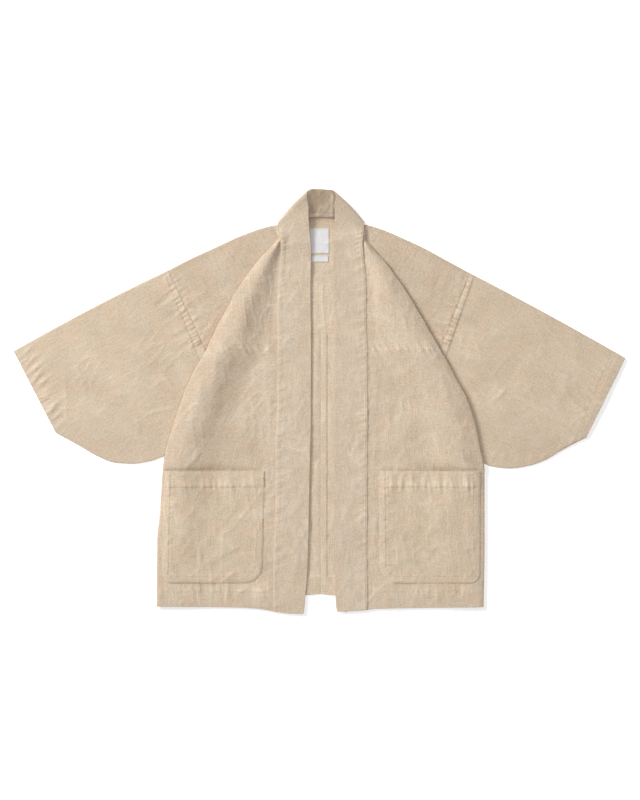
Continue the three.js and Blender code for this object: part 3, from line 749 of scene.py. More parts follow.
def shell(
    name, middle, thickness=CANVAS, relief=0.0, over=0.0, under=0.0, painted_light=0.0, warp=(0, 1),
    lay=None, ring=False, mirrored=False,
):
    """Closed shell of cloth around a grid of middle points, rows by columns, in millimetres.

    The surface is moved out along its normal by half the thickness on either side, and a row
    of points between the two sides rounds the rim. relief raises the middle surface, always
    upwards. over and under thicken one side. painted_light is painted shade and highlight: it
    only makes the cloth darker or paler in colour, through the 'raised' attribute. The uv map
    'cloth' holds lengths in metres across and along the cloth: along the warp's direction in
    plan, or else along the rows. lay gives those lengths for some of the points, in
    millimetres, and is nan at the others. A ring closes its columns. A mirrored grid is turned
    round, so that its normals point the same way.
    """
    fields = [np.broadcast_to(field, middle.shape[:2]) for field in (relief, over, under, painted_light)]
    if mirrored:
        turned = np.s_[::-1] if ring else np.s_[:, ::-1]
        middle, fields = middle[turned], [field[turned] for field in fields]
    relief, over, under, painted_light = (tighten(field, ring)[..., None] for field in fields)
    middle = tighten(middle, ring)
    rows, across = middle.shape[:2]
    count = rows * across

    def normals(grid):
        over_row = np.roll(grid, -1, 1) - np.roll(grid, 1, 1) if ring else np.gradient(grid, axis=1)
        return unit(np.cross(np.gradient(grid, axis=0), over_row))

    normal = normals(middle)
    step = np.diff(middle, axis=1, append=middle[:, :1])
    down = np.linalg.norm(np.diff(middle, axis=0), axis=2).mean(1)
    upward = normal[..., 2:] / np.sqrt(normal[..., 2:] ** 2 + UPRIGHT)
    middle = middle + normal * upward * relief
    normal = normals(middle)
    outer = middle + normal * (thickness / 2 + over)
    inner = middle - normal * (thickness / 2 + under)

    index = np.arange(count).reshape(rows, across)
    if ring:
        index = np.concatenate([index, index[:, :1]], 1)
    wide = index.shape[1]
    if warp is None:
        v = np.tile(np.concatenate([[0], np.cumsum(down)])[:, None], wide)
        width, begin = np.linalg.norm(step, axis=2), np.zeros((rows, 1))
    else:
        v = (middle[..., 0] * warp[0] + middle[..., 1] * warp[1]).ravel()[index]
        width = np.hypot(step[..., 0] * warp[1] - step[..., 1] * warp[0], step[..., 2])
        begin = np.abs(middle[:, :1, 0] * warp[1] - middle[:, :1, 1] * warp[0])
    u = begin + np.concatenate([0 * begin, np.cumsum(width[:, : wide - 1], 1)], 1)
    if lay is not None:
        lay = tighten(lay, ring)
        given = np.isfinite(lay[..., 0])
        u[given], v[given] = lay[given].T
    uv = np.stack([u, v], 2).reshape(-1, 2) * MM
    uv_index = np.arange(index.size).reshape(index.shape)

    def quads(k):
        return np.stack([k[:-1, :-1], k[1:, :-1], k[1:, 1:], k[:-1, 1:]], 2).reshape(-1, 4)

    def rims(k):
        if ring:
            return k[0], k[-1, ::-1]
        return (np.concatenate([k[0], k[1:, -1], k[-1, -2::-1], k[-2::-1, 0]]),)

    faces = [quads(index), quads(index)[:, ::-1] + count]
    uv_faces = [quads(uv_index), quads(uv_index)[:, ::-1]]
    outward = np.zeros_like(middle)
    outward[0] += middle[0] - middle[1]
    outward[-1] += middle[-1] - middle[-2]
    if not ring:
        outward[:, 0] += middle[:, 0] - middle[:, 1]
        outward[:, -1] += middle[:, -1] - middle[:, -2]
    bulge = RIM_BULGE * thickness * unit(outward).reshape(-1, 3)
    # The 'raised' attribute: the relief's height plus the painted light, painted shade and highlight
    # that the linen turns into colour.
    height = (relief + painted_light).ravel()
    points, heights = [outer.reshape(-1, 3), inner.reshape(-1, 3)], [height, height]
    total = 2 * count
    for loop, uv_loop in zip(rims(index), rims(uv_index)):
        a, b = loop[:-1], loop[1:]
        rim = total + np.arange(len(a))
        rim_next = np.roll(rim, -1)
        points.append((points[0][a] + points[1][a]) / 2 + bulge[a])
        heights.append(height[a])
        faces.append(np.stack([a, b, rim_next, rim], 1))
        faces.append(np.stack([rim, rim_next, b + count, a + count], 1))
        uv_faces += 2 * [np.stack([uv_loop[:-1], uv_loop[1:], uv_loop[1:], uv_loop[:-1]], 1)]
        total += len(a)

    points = np.concatenate(points) * MM
    faces, uv_faces = np.concatenate(faces), np.concatenate(uv_faces)
    a, b, c, d = (points[faces[:, k]] for k in range(4))
    if (a * (np.cross(b, c) + np.cross(c, d))).sum() < 0:
        faces, uv_faces = faces[:, ::-1], uv_faces[:, ::-1]

    mesh = bpy.data.meshes.new(name)
    mesh.vertices.add(len(points))
    mesh.vertices.foreach_set("co", points.astype(np.float32).ravel())
    mesh.loops.add(faces.size)
    mesh.loops.foreach_set("vertex_index", faces.astype(np.int32).ravel())
    mesh.polygons.add(len(faces))
    mesh.polygons.foreach_set("loop_start", np.arange(0, faces.size, 4, dtype=np.int32))
    mesh.polygons.foreach_set("loop_total", np.full(len(faces), 4, np.int32))
    layer = mesh.uv_layers.new(name="cloth")
    layer.data.foreach_set("uv", uv[uv_faces.ravel()].astype(np.float32).ravel())
    raised = mesh.attributes.new("raised", "FLOAT", "POINT")
    raised.data.foreach_set("value", np.concatenate(heights).astype(np.float32))
    mesh.update(calc_edges=True)
    return add_piece(name, mesh)


def add_piece(name, mesh):
    mesh.validate()
    mesh.shade_smooth()
    thing = bpy.data.objects.new(name, mesh)
    bpy.context.collection.objects.link(thing)
    return thing


# The yoke

UNDER_BAND = 2.5  # how far the pleat's upper end is tucked under the collar band
PRESSED = 0.42  # its height there, as a share of the height of the open pleat
# Columns of the front: to the rolled edge, round it, folded under, round the hidden roll
TOP, ROLL, TUCK, HIDDEN = 58, 9, 4, 5
FOLDED = TOP + ROLL + TUCK + HIDDEN
SHOULDER_LAY = 300  # length across at the armhole, clear of the lengths on the front


def yoke_half(side):
    """Rows of one half of the yoke: up the front, over the shoulder, and fanned over the back.

    Returns the middle points, the relief and the painted shade and highlight of those of the
    front, and the lay of the shoulder, where the cloth's warp runs along the armhole seam.
    Behind the hidden roll the front is level out to the armhole, half a small circle takes it
    round the shoulder line, and straight rows spread it from the neck over the back.
    """
    s = SIGN[side]
    y = np.linspace(YOKE_SEAM_Y + SEAM_GAP / 2, YOKE_TOP_Y, 92)[:, None]
    x, z, wobble, ply = front_section(side, y, TOP, ROLL, TUCK, HIDDEN)
    x = x + wobble * ease(330, 300, y) - UNDER_BAND * ease(308, 323, y) * ease(347, 336, y)
    z = SHOULDER_Z + (z - SHOULDER_Z) * mix(1, PRESSED, ease(306, 320, y))

    v = (y - YOKE_SEAM_Y) / (YOKE_TOP_Y - YOKE_SEAM_Y)
    radius = (SHOULDER_Z - BACK_Z) / 2
    inset = HALF + radius
    shoulder_y = SHOULDER_POINT[side][1] - inset
    foot_y = YOKE_SEAM_Y + ARMHOLE_FOOT
    end_y = mix(foot_y, shoulder_y, v)
    end_x = armhole_at(side, end_y) - SEAM_GAP / 2
    start_x = x[:, -1:]
    t = np.linspace(0, 1, 61)[1:]
    x = np.concatenate([x, mix(start_x, end_x, t)], 1)
    z = np.concatenate([z, SHOULDER_Z + 0 * (start_x + t)], 1)
    level = np.concatenate([y + 0 * wobble, mix(y, end_y, t)], 1)
    out = np.maximum(x - start_x, 0) / (end_x - start_x)
    bow = shoulder_at[side](x) - inset - mix(YOKE_TOP_Y, shoulder_y, out)
    level = level + v**3 * (bow - bow[:, -1:] * out)
    front = np.stack([s * x, level, z], 2)

    edge = edge_at[side](y)
    lower_ply = ease(edge - 4, edge + 12, x) * (np.arange(x.shape[1]) >= FOLDED)
    arm = armhole_path(side)
    lower = 0.4 + cloth_relief(
        s * x, level, (0.35, 23), (0.8, 0.4 * s, 140), SHOULDER_CREASES[side],
        [(arm, 9, 9, 2.4, 151 + s, 0.2)], [(armhole_path(side, -3), 1.6, 0.4)],
    )
    lower = lower_ply * meet_at_armhole(side, s * x, level, lower)
    ply = np.pad(ply, (0, len(t)))
    relief = (ply * front_relief(side, s * x, level) + lower) * ease(350, 322, y)
    off = np.abs(along_path(arm, s * x, level)[1])
    # Painted shade: the shoulders' lower ply is painted darker, with a painted highlight along the
    # stitching 2.5 mm inside the armhole seam.
    painted_light = lower_ply * (1.4 * bell(off - 2.5, 1.8) - 1.2)

    run = unit(front[-1, -1] - front[-1, 0])
    away = np.array([-run[1] * s, run[0] * s, 0])
    angle = np.linspace(0, np.pi, 7)[1:, None, None]
    rolled = front[-1][None] + away * radius * np.sin(angle)
    middle_z = BACK_Z + radius
    rolled[..., 2] = middle_z + (front[-1][None, :, 2] - middle_z) * np.cos(angle[..., 0])

    # The fan over the back: x at the neck, x and y at the far end, how evenly spaced
    last = rolled[-1]
    share = (last[:, 0] - last[0, 0]) / (last[-1, 0] - last[0, 0])
    seam_y = BACK_SEAM_Y + SEAM_GAP / 2
    beside_armhole = ((80, 218, 0.4), (70, 175, 0.75), (60, seam_y, 1))
    nodes = [(n, armhole_at(side, at) - SEAM_GAP / 2, at, even) for n, at, even in beside_armhole]
    nodes += [(n, far, seam_y, 1) for n, far in ((48, 190), (36, 140), (24, 92), (12, 46), (0, 0))]
    steps = enumerate((4, 4, 6, 6, 8, 13, 16))
    at = np.concatenate([*(np.linspace(k, k + 1, n, endpoint=False) for k, n in steps), [7.0]])
    columns = np.array(nodes).T
    neck, far, far_y, spread = (np.interp(at, range(8), column)[:, None] for column in columns)
    t = mix(share[None], np.linspace(0, 1, len(share))[None], spread)
    fan_x, fan_y = mix(neck, far, t), mix(neck_at(neck) - SEAM_GAP, far_y, t)
    fan = np.stack([s * fan_x, fan_y, BACK_Z + 0 * fan_x], 2)
    bridge = np.stack([mix(last, fan[0], k) for k in (0.25, 0.5, 0.75)])
    grid = np.concatenate([front, rolled, bridge, fan])

    slope = math.atan(ARMHOLE_SLOPE[side])
    beside, above = s * grid[..., 0] - armhole_at(side, foot_y), grid[..., 1] - foot_y
    across = SHOULDER_LAY + beside * math.cos(slope) - above * math.sin(slope)
    lay = np.stack([across, beside * math.sin(slope) + above * math.cos(slope) + YOKE_SEAM_Y], 2)
    lay[:, :FOLDED] = np.nan
    lay[len(front) + len(rolled) :] = np.nan
    return grid, relief, painted_light, lay


def back_relief(x, y):
    """Relief of the back's inside where it shows between the fronts; it only rises."""
    seam = level_path(-70, 70, BACK_SEAM_Y)
    height = 0.4 + cloth_relief(
        x, y, (0.35, 203), (0.8, 1.4, 240), BACK_CREASES,
        [(seam, 7, 5, 0.5, 251, 0.1)], [(seam, 1.3, 0.5)],
    )
    return np.maximum(height, 0) * ease(74, 50, np.abs(x))


def build_yoke():
    """Both halves joined down the middle of the back, with the back's relief on the inside."""
    left, right = yoke_half("left"), yoke_half("right")
    grid, lay = (np.concatenate([left[k], right[k][::-1][1:]]) for k in (0, 3))
    x, y, z = np.moveaxis(grid, 2, 0)
    below_neck = neck_at(np.abs(x)) - y
    on_table = z < BACK_Z + 0.01
    relief = back_relief(x, y) * (y < 366) * on_table * ease(0, 8, below_neck)
    # Painted shadow on the back's inside under the standing collar, darkest at the neck edge; the rest
    # of the back on the table is painted a little paler.
    painted_light = 1 - 6 * np.exp(-np.abs(below_neck) / 16) - 7 * ease(3, 0, below_neck)
    painted_light = painted_light * on_table * ease(78, 60, np.abs(x))
    for field, k in ((relief, 1), (painted_light, 2)):
        field[: len(left[k])] = left[k]
        field[-len(right[k]) :] = right[k][::-1]
    return shell("yoke_cloth", grid, relief=relief, painted_light=painted_light, lay=lay)


# The lower fronts and their pockets


def build_front(side):
    """The front's section at every level, its last rows drawn down to the cut of the hem."""
    s = SIGN[side]
    hem_y = front_hem_at[side](SIDE_X)
    hem_from = hem_y + FRONT_HEM
    y = through(YOKE_SEAM_Y - SEAM_GAP / 2, 188, hem_from + STEP, 3, hem_from, 12, hem_y)[:, None]
    x, z, wobble, ply = front_section(side, y, top=82, roll=8, tuck=3)
    x = x + wobble * ease(-100, -120, -np.abs(y + 260) + 160)
    cut = np.clip((hem_from - y) / (hem_from - hem_y), 0, 1)
    level = mix(y, mix(hem_from, front_hem_at[side](x), cut), y < hem_from) + 0 * x
    return shell(
        f"front_{side}_cloth",
        np.stack([s * x, level, z], 2),
        relief=ply * front_relief(side, s * x, level),
        under=TURNING * ease(hem_from + STEP, hem_from, y),
        mirrored=s < 0,
    )


def pocket_line(ends, y):
    return mix(*ends, np.clip((POCKET_TOP - y) / (POCKET_TOP - POCKET_BOTTOM), 0, 1))


def pocket_inset(side, x, y):
    """Distance inward from the pocket's two sides and rounded bottom, x from the middle."""
    inner = x - pocket_line(POCKET_INNER[side], y)
    outer = pocket_line(POCKET_OUTER[side], y) - x
    bottom = y - POCKET_BOTTOM
    least = np.minimum(np.minimum(inner, outer), bottom)
    for beside, radius in ((inner, INNER_CORNER), (outer, OUTER_CORNER)):
        corner = (beside < radius) & (bottom < radius)
        rounded = radius - np.hypot(radius - beside, radius - bottom)
        least = np.where(corner, np.minimum(least, rounded), least)
    return least


def pocket_outline(side, inset, y_from=POCKET_TOP - 3):
    """Path inside the pocket's edge: down the inner side, along the bottom, up the outer."""
    (inner_top, inner_low), (outer_top, outer_low) = POCKET_INNER[side], POCKET_OUTER[side]
    points = [(inner_top + inset, y_from)]
    for low, radius, way, angles in (
        (inner_low, INNER_CORNER, 1, np.linspace(0, np.pi / 2, 7)),
        (outer_low, OUTER_CORNER, -1, np.linspace(np.pi / 2, 0, 6)),
    ):
        reach = max(radius - inset, 2)
        for angle in angles:
            x = low + way * (radius - reach * math.cos(angle))
            points.append((x, POCKET_BOTTOM + radius - reach * math.sin(angle)))
    points.append((outer_top - inset, y_from))
    return np.array(points) * (SIGN[side], 1)


def build_pocket(side):
    """A patch on the front's form, closer rows round its corners, lifted inside its edge."""
    s = SIGN[side]
    drop = OUTER_CORNER + 20
    knots = (POCKET_TOP, 5, POCKET_TOP - 8, 22, POCKET_HEM_Y - 8, 58, POCKET_BOTTOM + drop)
    corners = POCKET_BOTTOM + drop * (1 - np.sin(np.linspace(0, np.pi / 2, 38)[1:]))
    y = np.concatenate([through(*knots), corners])[:, None]

    def rounded(radius):
        below = np.maximum(radius - (y - POCKET_BOTTOM), 0)
        return radius - np.sqrt(np.maximum(radius * radius - below * below, 0))

    low = pocket_line(POCKET_INNER[side], y) + rounded(INNER_CORNER)
    high = pocket_line(POCKET_OUTER[side], y) - rounded(OUTER_CORNER)
    near = np.linspace(0, POCKET_CLOSE, 16)
    middle = mix(low + POCKET_CLOSE, high - POCKET_CLOSE, np.linspace(0, 1, 66)[1:-1])
    x = np.concatenate([low + near, middle, high - near[::-1]], 1)
    px, py = s * x, y + 0 * x
    inset = pocket_inset(side, x, py)
    p, seam, start, edge_z = front_at(side, y)
    front_z = ridge(start - x, start - seam, edge_z, p["crest"], p["low"])
    lift = mix(CANVAS + 0.05, POCKET_LIFT, ease(0, 9, inset))
    hem = level_path(s * 112, s * 316, POCKET_HEM_Y)
    beneath = 0.8 * front_relief(side, px, py)
    relief = beneath + cloth_relief(px, py, (0.35, 303), (0.7, 1.2, 340), along=[(hem, 1.6, 0.3)])
    relief = relief + creases(px, py, POCKET_CREASES[side]) * ease(0, 10, inset)
    for place, depth in ((STRIP, 0.55), (STRIP - 2, 0.2), (2.5, 0.25)):
        relief = relief - depth * bell(inset - place, 1.3)
    strip = pocket_outline(side, STRIP, POCKET_TOP)
    relief = relief + puckers(px, py, strip, 7, 5, 1.0, 351 + s, 0.3) * ease(6, 12, inset)
    at_hem = puckers(px, py, hem, 12, 10, POCKET_PUCKERS[side], 361 + s, 0.1)
    relief = relief + at_hem * ease(1, 8, inset)
    sag = POCKET_SAG[side] * np.exp((py - POCKET_TOP) / 6)
    relief = np.maximum(relief + sag * arch((x - low) / (high - low)), beneath - 0.3 * ease(0, 9, inset))
    over = TURNING * ease(POCKET_HEM_Y - 1.5, POCKET_HEM_Y + 1.5, y)
    over = over + 0.35 * ease(STRIP + 1, STRIP - 1, inset) - 0.7 * ease(3, 0, inset)
    # Each gather along the pocket's hem is only painted, as painted shade, on a painted paler band along
    # the hem.
    gather_shade = tucks(px, py, hem, 11, 1.7, 371 + s) * ease(3, 10, inset)
    # Painted highlight on the raised stitched strip round the pocket, and a painted shadow line along
    # its inner edge.
    painted_light = 0.8 * ease(STRIP, STRIP - 1, inset) - 1.4 * bell(inset - STRIP, 1.2)
    reach = POCKET_GATHER_SHADE[side] * ease(26, 4, np.abs(py - POCKET_HEM_Y - 6))
    return shell(
        f"pocket_{side}_cloth",
        np.stack([px, py, front_z + lift], 2),
        relief=relief,
        over=over,
        painted_light=painted_light + reach * (0.5 - 1.7 * gather_shade),
        mirrored=s < 0,
    )


# Sleeves

CUFF_X = 612  # the cuff, along the top edge
CUFF_HEM_X = 597
CUFF_STITCH = 25
SLEEVE_TOP_BOW = {"left": 4, "right": 2.5}
SLEEVE_LIFT = table(2, "290 0  325 0.8  370 2  450 2.6  540 2  600 0.8  612 0.5")
UPPER = 150  # columns of the upper layer
UNDER = 16  # and of the lower


def sleeve_section(side, top):
    """Upper and lower end of a sleeve's section, for distances along its top edge."""
    s = SIGN[side]
    x0, y0 = SHOULDER_POINT[side]
    t = (top - x0) / (CUFF_X - x0)
    top_y = mix(y0, CUFF_TOP_Y[side], t) + SLEEVE_TOP_BOW[side] * 4 * t * (1 - t)
    low_x, low_y = (line(SLEEVE[side], k)(top) for k in (1, 2))
    return np.stack([s * top, top_y, 0 * top], 1), np.stack([s * low_x, low_y, 0 * top], 1)


def cuff_path(side, inset):
    """Line across the sleeve at a distance in from the cuff, along the top edge."""
    high, low = sleeve_section(side, np.array([CUFF_X - inset], float))
    return np.stack([mix(high[0], low[0], share)[:2] for share in (0.02, 0.98)])


def sleeve_relief(side, x, y):
    """Relief of the upper layer, fading out under the front's rolled edge."""
    s = SIGN[side]
    felled, cuff = armhole_path(side, ARM_FELL), cuff_path(side, CUFF_STITCH)
    height = cloth_relief(
        x, y, (0.6, 403), (0.75, -0.5 * s, 500 + 60 * s), SLEEVE_CREASES[side],
        [(felled, 9, 9, 2.6, 451 + s, 0.2)], [(felled, 1.5, 0.5)],
    )
    height = meet_at_armhole(side, x, y, height)
    height = height + puckers(x, y, cuff, 15, 12, 2.6, 461 + s, -0.3 * s) + groove(x, y, cuff, 1.7, 0.6)
    edge = edge_at[side](y)
    return height * ease(edge - 4, edge + 12, s * x)


def build_sleeve(side):
    """A tube pressed flat: down the upper layer, round the bottom edge, back along the table."""
    s = SIGN[side]
    foot = SHOULDER_POINT[side][0]
    last = foot + ARM_FELL
    inside_hem = CUFF_HEM_X - STEP
    top = through(
        CUFF_X, 9, CUFF_HEM_X, 3, inside_hem, 2, 592, 20, 560, 72, 360, 32, last + 1.2, 2, last + 0.3,
        2, last, 8, foot + SEAM_GAP / 2,
    )
    high, low = sleeve_section(side, top)
    raised = ease(inside_hem, CUFF_HEM_X, top)[:, None]
    rise = np.clip((top[:, None] - 440) / 156, 0, 1)
    z = mix(mix(SHOULDER_Z, CUFF_Z - TURNING / 2, rise), CUFF_Z, raised)
    length = np.linalg.norm(low - high, axis=1, keepdims=True)
    down = unit(low - high)

    def sine(ends):
        return np.linalg.norm(np.cross(down, unit(np.gradient(ends, axis=0))), axis=1)[:, None]

    high_sine, low_sine = sine(high), sine(low)
    radius = (z - BACK_Z) / 2
    first, finish = (radius + HALF) / high_sine, length - (radius + HALF) / low_sine
    share, back = np.linspace(0, 1, UPPER)[None], np.linspace(1, 0, UNDER)[None]
    quarter = np.pi * np.linspace(0, 1, 8)[1:-1][None]
    round_x, round_z, middle_z = radius * np.sin(quarter), radius * np.cos(quarter), BACK_Z + radius
    run = np.concatenate(
        [
            mix(first, finish, share), finish + round_x / low_sine,
            mix(first, finish, back), first - round_x / high_sine,
        ],
        1,
    )
    grid = high[:, None] + run[..., None] * down[:, None]
    lift = line(SLEEVE_LIFT, 1)(np.abs(grid[:, :UPPER, 0])) * arch(share) ** 0.8
    parts = [z + lift, middle_z + round_z, BACK_Z + 0 * z * back, middle_z - round_z]
    grid[..., 2] = np.concatenate(parts, 1)

    x, y = grid[:, :UPPER, 0], grid[:, :UPPER, 1]
    mask = arch(np.clip(share, 0.004, 0.996)) ** 0.3
    relief = np.maximum(mask * sleeve_relief(side, x, y), -0.5 - 0.8 * lift)
    beside = (top - foot)[:, None]
    strip = ease(ARM_FELL + 2, ARM_FELL, beside) * mask
    rungs = tucks(x, y, armhole_path(side, 4), 9, 1.5, 471 + s)
    hem_tucks = tucks(x, y, cuff_path(side, CUFF_STITCH), 17, 1.6, 481 + s)
    turned = ease(CUFF_STITCH + 1, CUFF_STITCH - 2, (CUFF_X - top)[:, None])
    turned = CUFF_TUCKS[side] * mask * turned
    relief = relief - 0.5 * rungs * strip * ease(0, 2, beside) - 0.5 * turned * hem_tucks
    shown = ease(0, 0.03, share) * ease(1, 0.97, share)
    # Painted light on the sleeve: a painted highlight on the felled strip with painted shade in its
    # rungs, painted shadow at the armhole seam and at the fell's stitched edge, and a painted highlight
    # on the cuff's turning with painted shade in its tucks.
    seam_shade = 5 * bell(beside - ARM_FELL, 1.1) + 6 * bell(beside, 1.1)
    painted_light = (1.9 - 7 * rungs) * strip - shown * seam_shade + turned * (0.8 - 3.5 * hem_tucks)
    over = 0.7 * ease(last + 1, last - 1, top) * ease(foot, foot + 3, top)
    over = over[:, None] + 0 * share
    only_above = ((0, 0), (0, grid.shape[1] - UPPER))
    relief, painted_light, over = (np.pad(field, only_above) for field in (relief, painted_light, over))
    return shell(
        f"sleeve_{side}_cloth", grid, relief=relief, over=over, under=TURNING * raised, painted_light=painted_light,
        warp=unit(high[0, :2] - high[-1, :2]), ring=True, mirrored=s < 0,
    )


# The back panels


def build_back(side):
    """Level cloth on the table, raised a turning at the hem and at the felled centre seam."""
    s = SIGN[side]
    near = s * CENTRE_SEAM_X + SEAM_GAP / 2
    knots = (BACK_SEAM_Y - SEAM_GAP / 2, 150, BACK_HEM_Y + STEP, 3, BACK_HEM_Y, 12, BACK_HEM_LOW)
    y = through(*knots)[:, None]
    cut = np.clip((BACK_HEM_Y - y) / (BACK_HEM_Y - BACK_HEM_LOW), 0, 1)
    fell = near + FELL_WIDTH
    close = through(near, 6, fell, 3, fell + 2, 2, fell + 4.5, 18, near + 62)
    beyond = mix(close[-1], back_edge_at[side](y), np.linspace(0, 1, 9)[1:])
    x = np.concatenate([close + 0 * y, beyond], 1)
    level = np.where(y < BACK_HEM_Y, mix(BACK_HEM_Y, back_hem_at(np.abs(x)), cut), y)
    at_hem = puckers(s * x, level, level_path(-70, 70, BACK_HEM_Y), 8, 6, 0.5, 551, 0.1)
    felled = TURNING * ease(FELL_WIDTH + 1, FELL_WIDTH, x - near) * (s > 0)
    return shell(
        f"back_{side}_cloth",
        np.stack([s * x, level, BACK_Z + 0 * x], 2),
        relief=back_relief(s * x, level) * ease(0, 4, x - near) + at_hem * ease(74, 50, x),
        over=np.maximum(felled, TURNING * ease(BACK_HEM_Y + STEP, BACK_HEM_Y, y)),
        # Painted light: the back is painted a little paler all over.
        painted_light=1.0,
        mirrored=s < 0,
    )


# The collar band

BAND_OVER_SEAM = 0.4  # the band's middle over that of the front at the seam
BAND_NECK_RISE = 3.8  # how far the seam edge rises towards the fold at the neck
BAND_RISE = (272, 328)  # and where it does
# y of the seam edge and of the free edge, up to the fold
BAND_NECK = table(2, "303 303  315 317  325 331  334 347  341 366  347 386")
BAND_CUT = -382  # where the rows start to turn to the cut end
BAND_CUT_ENDS = (-411, -430)  # the cut end at the seam edge and at the free edge
ACROSS = 26
# x, y of the stitching behind the neck
NECK_STITCH = table(2, "-66 362  -48 367.5  -24 370.5  0 371.3  24 370.5  48 367.5  66 362")


def band_rows(side, seam_y, open_y, cut=0.0):
    """Straight rows from the seam edge to the free edge, each end at its own height."""
    t = np.linspace(0, 1, ACROSS)[None]
    seam_y, open_y, cut = (np.reshape(a, (-1, 1)) for a in (seam_y, open_y, cut))
    seam_z = pleat_at["low"](seam_y) + BAND_OVER_SEAM + BAND_NECK_RISE * ease(*BAND_RISE, seam_y)
    x = mix(seam_at[side](seam_y) - SEAM_GAP / 2, opening_at[side](open_y), t)
    y = mix(mix(seam_y, open_y, t), front_hem_at[side](x), cut)
    return np.stack([SIGN[side] * x, y, mix(seam_z, opening_z(open_y), t)], 2)


def neck_fold(side, turns):
    """The fold at the side of the neck: straight rows from the seam edge to the free edge.

    The seam edge rolls over closely and runs on along the fold by the length of its roll. The
    free edge stands up and passes round to the back along a smooth curve.
    """
    s = SIGN[side]
    seam, free = NECK_FOLD[side]
    t = np.linspace(0, 1, ACROSS)[None]
    turns = np.reshape(turns, (-1, 1))
    angle, radius = np.pi * turns, FOLD_ROLL_SEAM
    out, on = radius * np.sin(angle) / math.sqrt(2), FOLD_LEAN * radius * angle / math.sqrt(2)
    seam_z = COLLAR_THICK / 2 + mix(SEAM_START, 2 * radius, turns) * (0.5 + 0.5 * np.cos(angle))
    along, up, free_z = (line(FREE_EDGE, k)(turns) for k in (1, 2, 3))
    bulge = 2.0 * arch(turns) * arch(t)
    x = mix(seam[0] + out - on, free[0] + along, t) + bulge
    y = mix(seam[1] + out + on, free[1] + up, t) + bulge
    return np.stack([s * x, y, mix(seam_z, free_z, t)], 2)


def band_relief(side, grid):
    """Relief of the band's front part: puckers beside its topstitching and soft creases."""
    seam, beside = (seam_path(side, -424, 345, offset) for offset in (-9, -4.5))
    return cloth_relief(
        grid[..., 0], grid[..., 1], (0.35, 603), (0.9, 1.45, 640), BAND_CREASES[side],
        [(seam, 7, 6, 1.6, 651 + SIGN[side], 0.35)], [(seam, 1.5, 0.6), (beside, 2.6, -0.5)],
    )


def band_half(side):
    """The band up one front, from its cut end to the neck, and its fold there."""
    seam_y = through(BAND_CUT_ENDS[0], 12, BAND_CUT, 236, 303)
    cut = np.clip((BAND_CUT - seam_y) / (BAND_CUT - BAND_CUT_ENDS[0]), 0, 1)
    open_y = np.where(cut > 0, mix(BAND_CUT, BAND_CUT_ENDS[1], cut), seam_y)
    at = np.linspace(0, len(BAND_NECK) - 1, 34)[1:]
    neck = [np.interp(at, range(len(BAND_NECK)), BAND_NECK[:, k]) for k in (0, 1)]
    front = np.concatenate([band_rows(side, seam_y, open_y, cut), band_rows(side, *neck)])
    return front, neck_fold(side, np.linspace(0, 1, 18))


def build_collar():
    """Up the left front, round behind the neck in straight rows, and down the right front."""
    (left, left_fold), (right, right_fold) = band_half("left"), band_half("right")
    start, end = left_fold[-1], right_fold[-1]
    at = np.linspace(-1, 11, 74)[1:-1]
    t = np.linspace(0, 1, ACROSS)[None]
    share = ((at + 1) / 12)[:, None]
    knots = (-1, 0, 10, 11)
    seam_x = np.interp(at, knots, (start[0, 0], -60, 60, end[0, 0]))[:, None]
    ends_y = np.interp(at, knots, (start[0, 1], neck_at(60), neck_at(60), end[0, 1]))[:, None]
    seam_y = np.where(((at > 0) & (at < 10))[:, None], neck_at(np.abs(seam_x)), ends_y)
    free_x, free_y, free_z = np.moveaxis(mix(start[-1], end[-1], share), 1, 0)[..., None]
    x, y = mix(seam_x, free_x, t), mix(seam_y, free_y + COLLAR_RISE * arch(share), t)
    z = mix(COLLAR_THICK / 2, free_z - 1.5 * arch(share), t)
    parts = [left, left_fold, np.stack([x, y, z], 2), right_fold[::-1], right[::-1]]
    grid = np.concatenate(parts)
    ends = np.cumsum([len(part) for part in parts])
    behind = slice(ends[1], ends[2])

    relief, painted_light = np.zeros(grid.shape[:2]), np.zeros(grid.shape[:2])
    relief[: ends[0]] = band_relief("left", left)
    relief[ends[3] :] = band_relief("right", right[::-1])
    crinkle = 0.5 + 0.5 * soft_noise(x, y, 16, 701) + 1.6 * wash_wrinkles(x, y, 1.3, 740)
    crinkle = crinkle + 1.2 * bell(x - 25 - 0.06 * (y - 380), 2.6)
    crinkle = crinkle * ease(0, 0.12, t) * (1 - 0.5 * ease(0.9, 1, t))
    relief[behind] = np.maximum(crinkle, 0) * ease(0, 0.1, share) * ease(1, 0.9, share)
    # Painted shadow inside the standing collar behind the neck, a painted highlight along its seam edge
    # and a painted shadow line at the seam itself.
    painted_light[behind] = 1 - 7 * ease(0.1, 0.18, t) - 6 * ease(0.03, 0, t)
    for k in (ends[0], ends[3]):
        relief *= np.clip(np.abs(np.arange(len(grid)) - k) / 10, 0, 1)[:, None]
    return shell("collar_band_cloth", grid, COLLAR_THICK, relief=relief, painted_light=painted_light, warp=None)


# Labels


def build_label(name, x, y, width, height, seed):
    """A small woven rectangle, its free lower corners a little raised."""
    u = np.linspace(-1, 1, 26)[None]
    v = np.linspace(1, -1, 34 if height > 30 else 14)[:, None]
    wave = soft_noise(u * width / 2, v * height / 2, 9, seed) + np.maximum(-v, 0) ** 3 * u**4
    at_x = x + u * width / 2 * (1 - 0.012 * np.abs(v) ** 6)
    at_y = y + v * height / 2 * (1 - 0.012 * np.abs(u) ** 6)
    z = CANVAS + back_relief(at_x, at_y) + LABEL_LIFT + 0.12 * wave
    return shell(name, np.stack([at_x, at_y, z], 2), LABEL_THICK, warp=None)


# Stitching

STITCH = 2.6  # length of a stitch
THREAD_WIDTH = 0.95


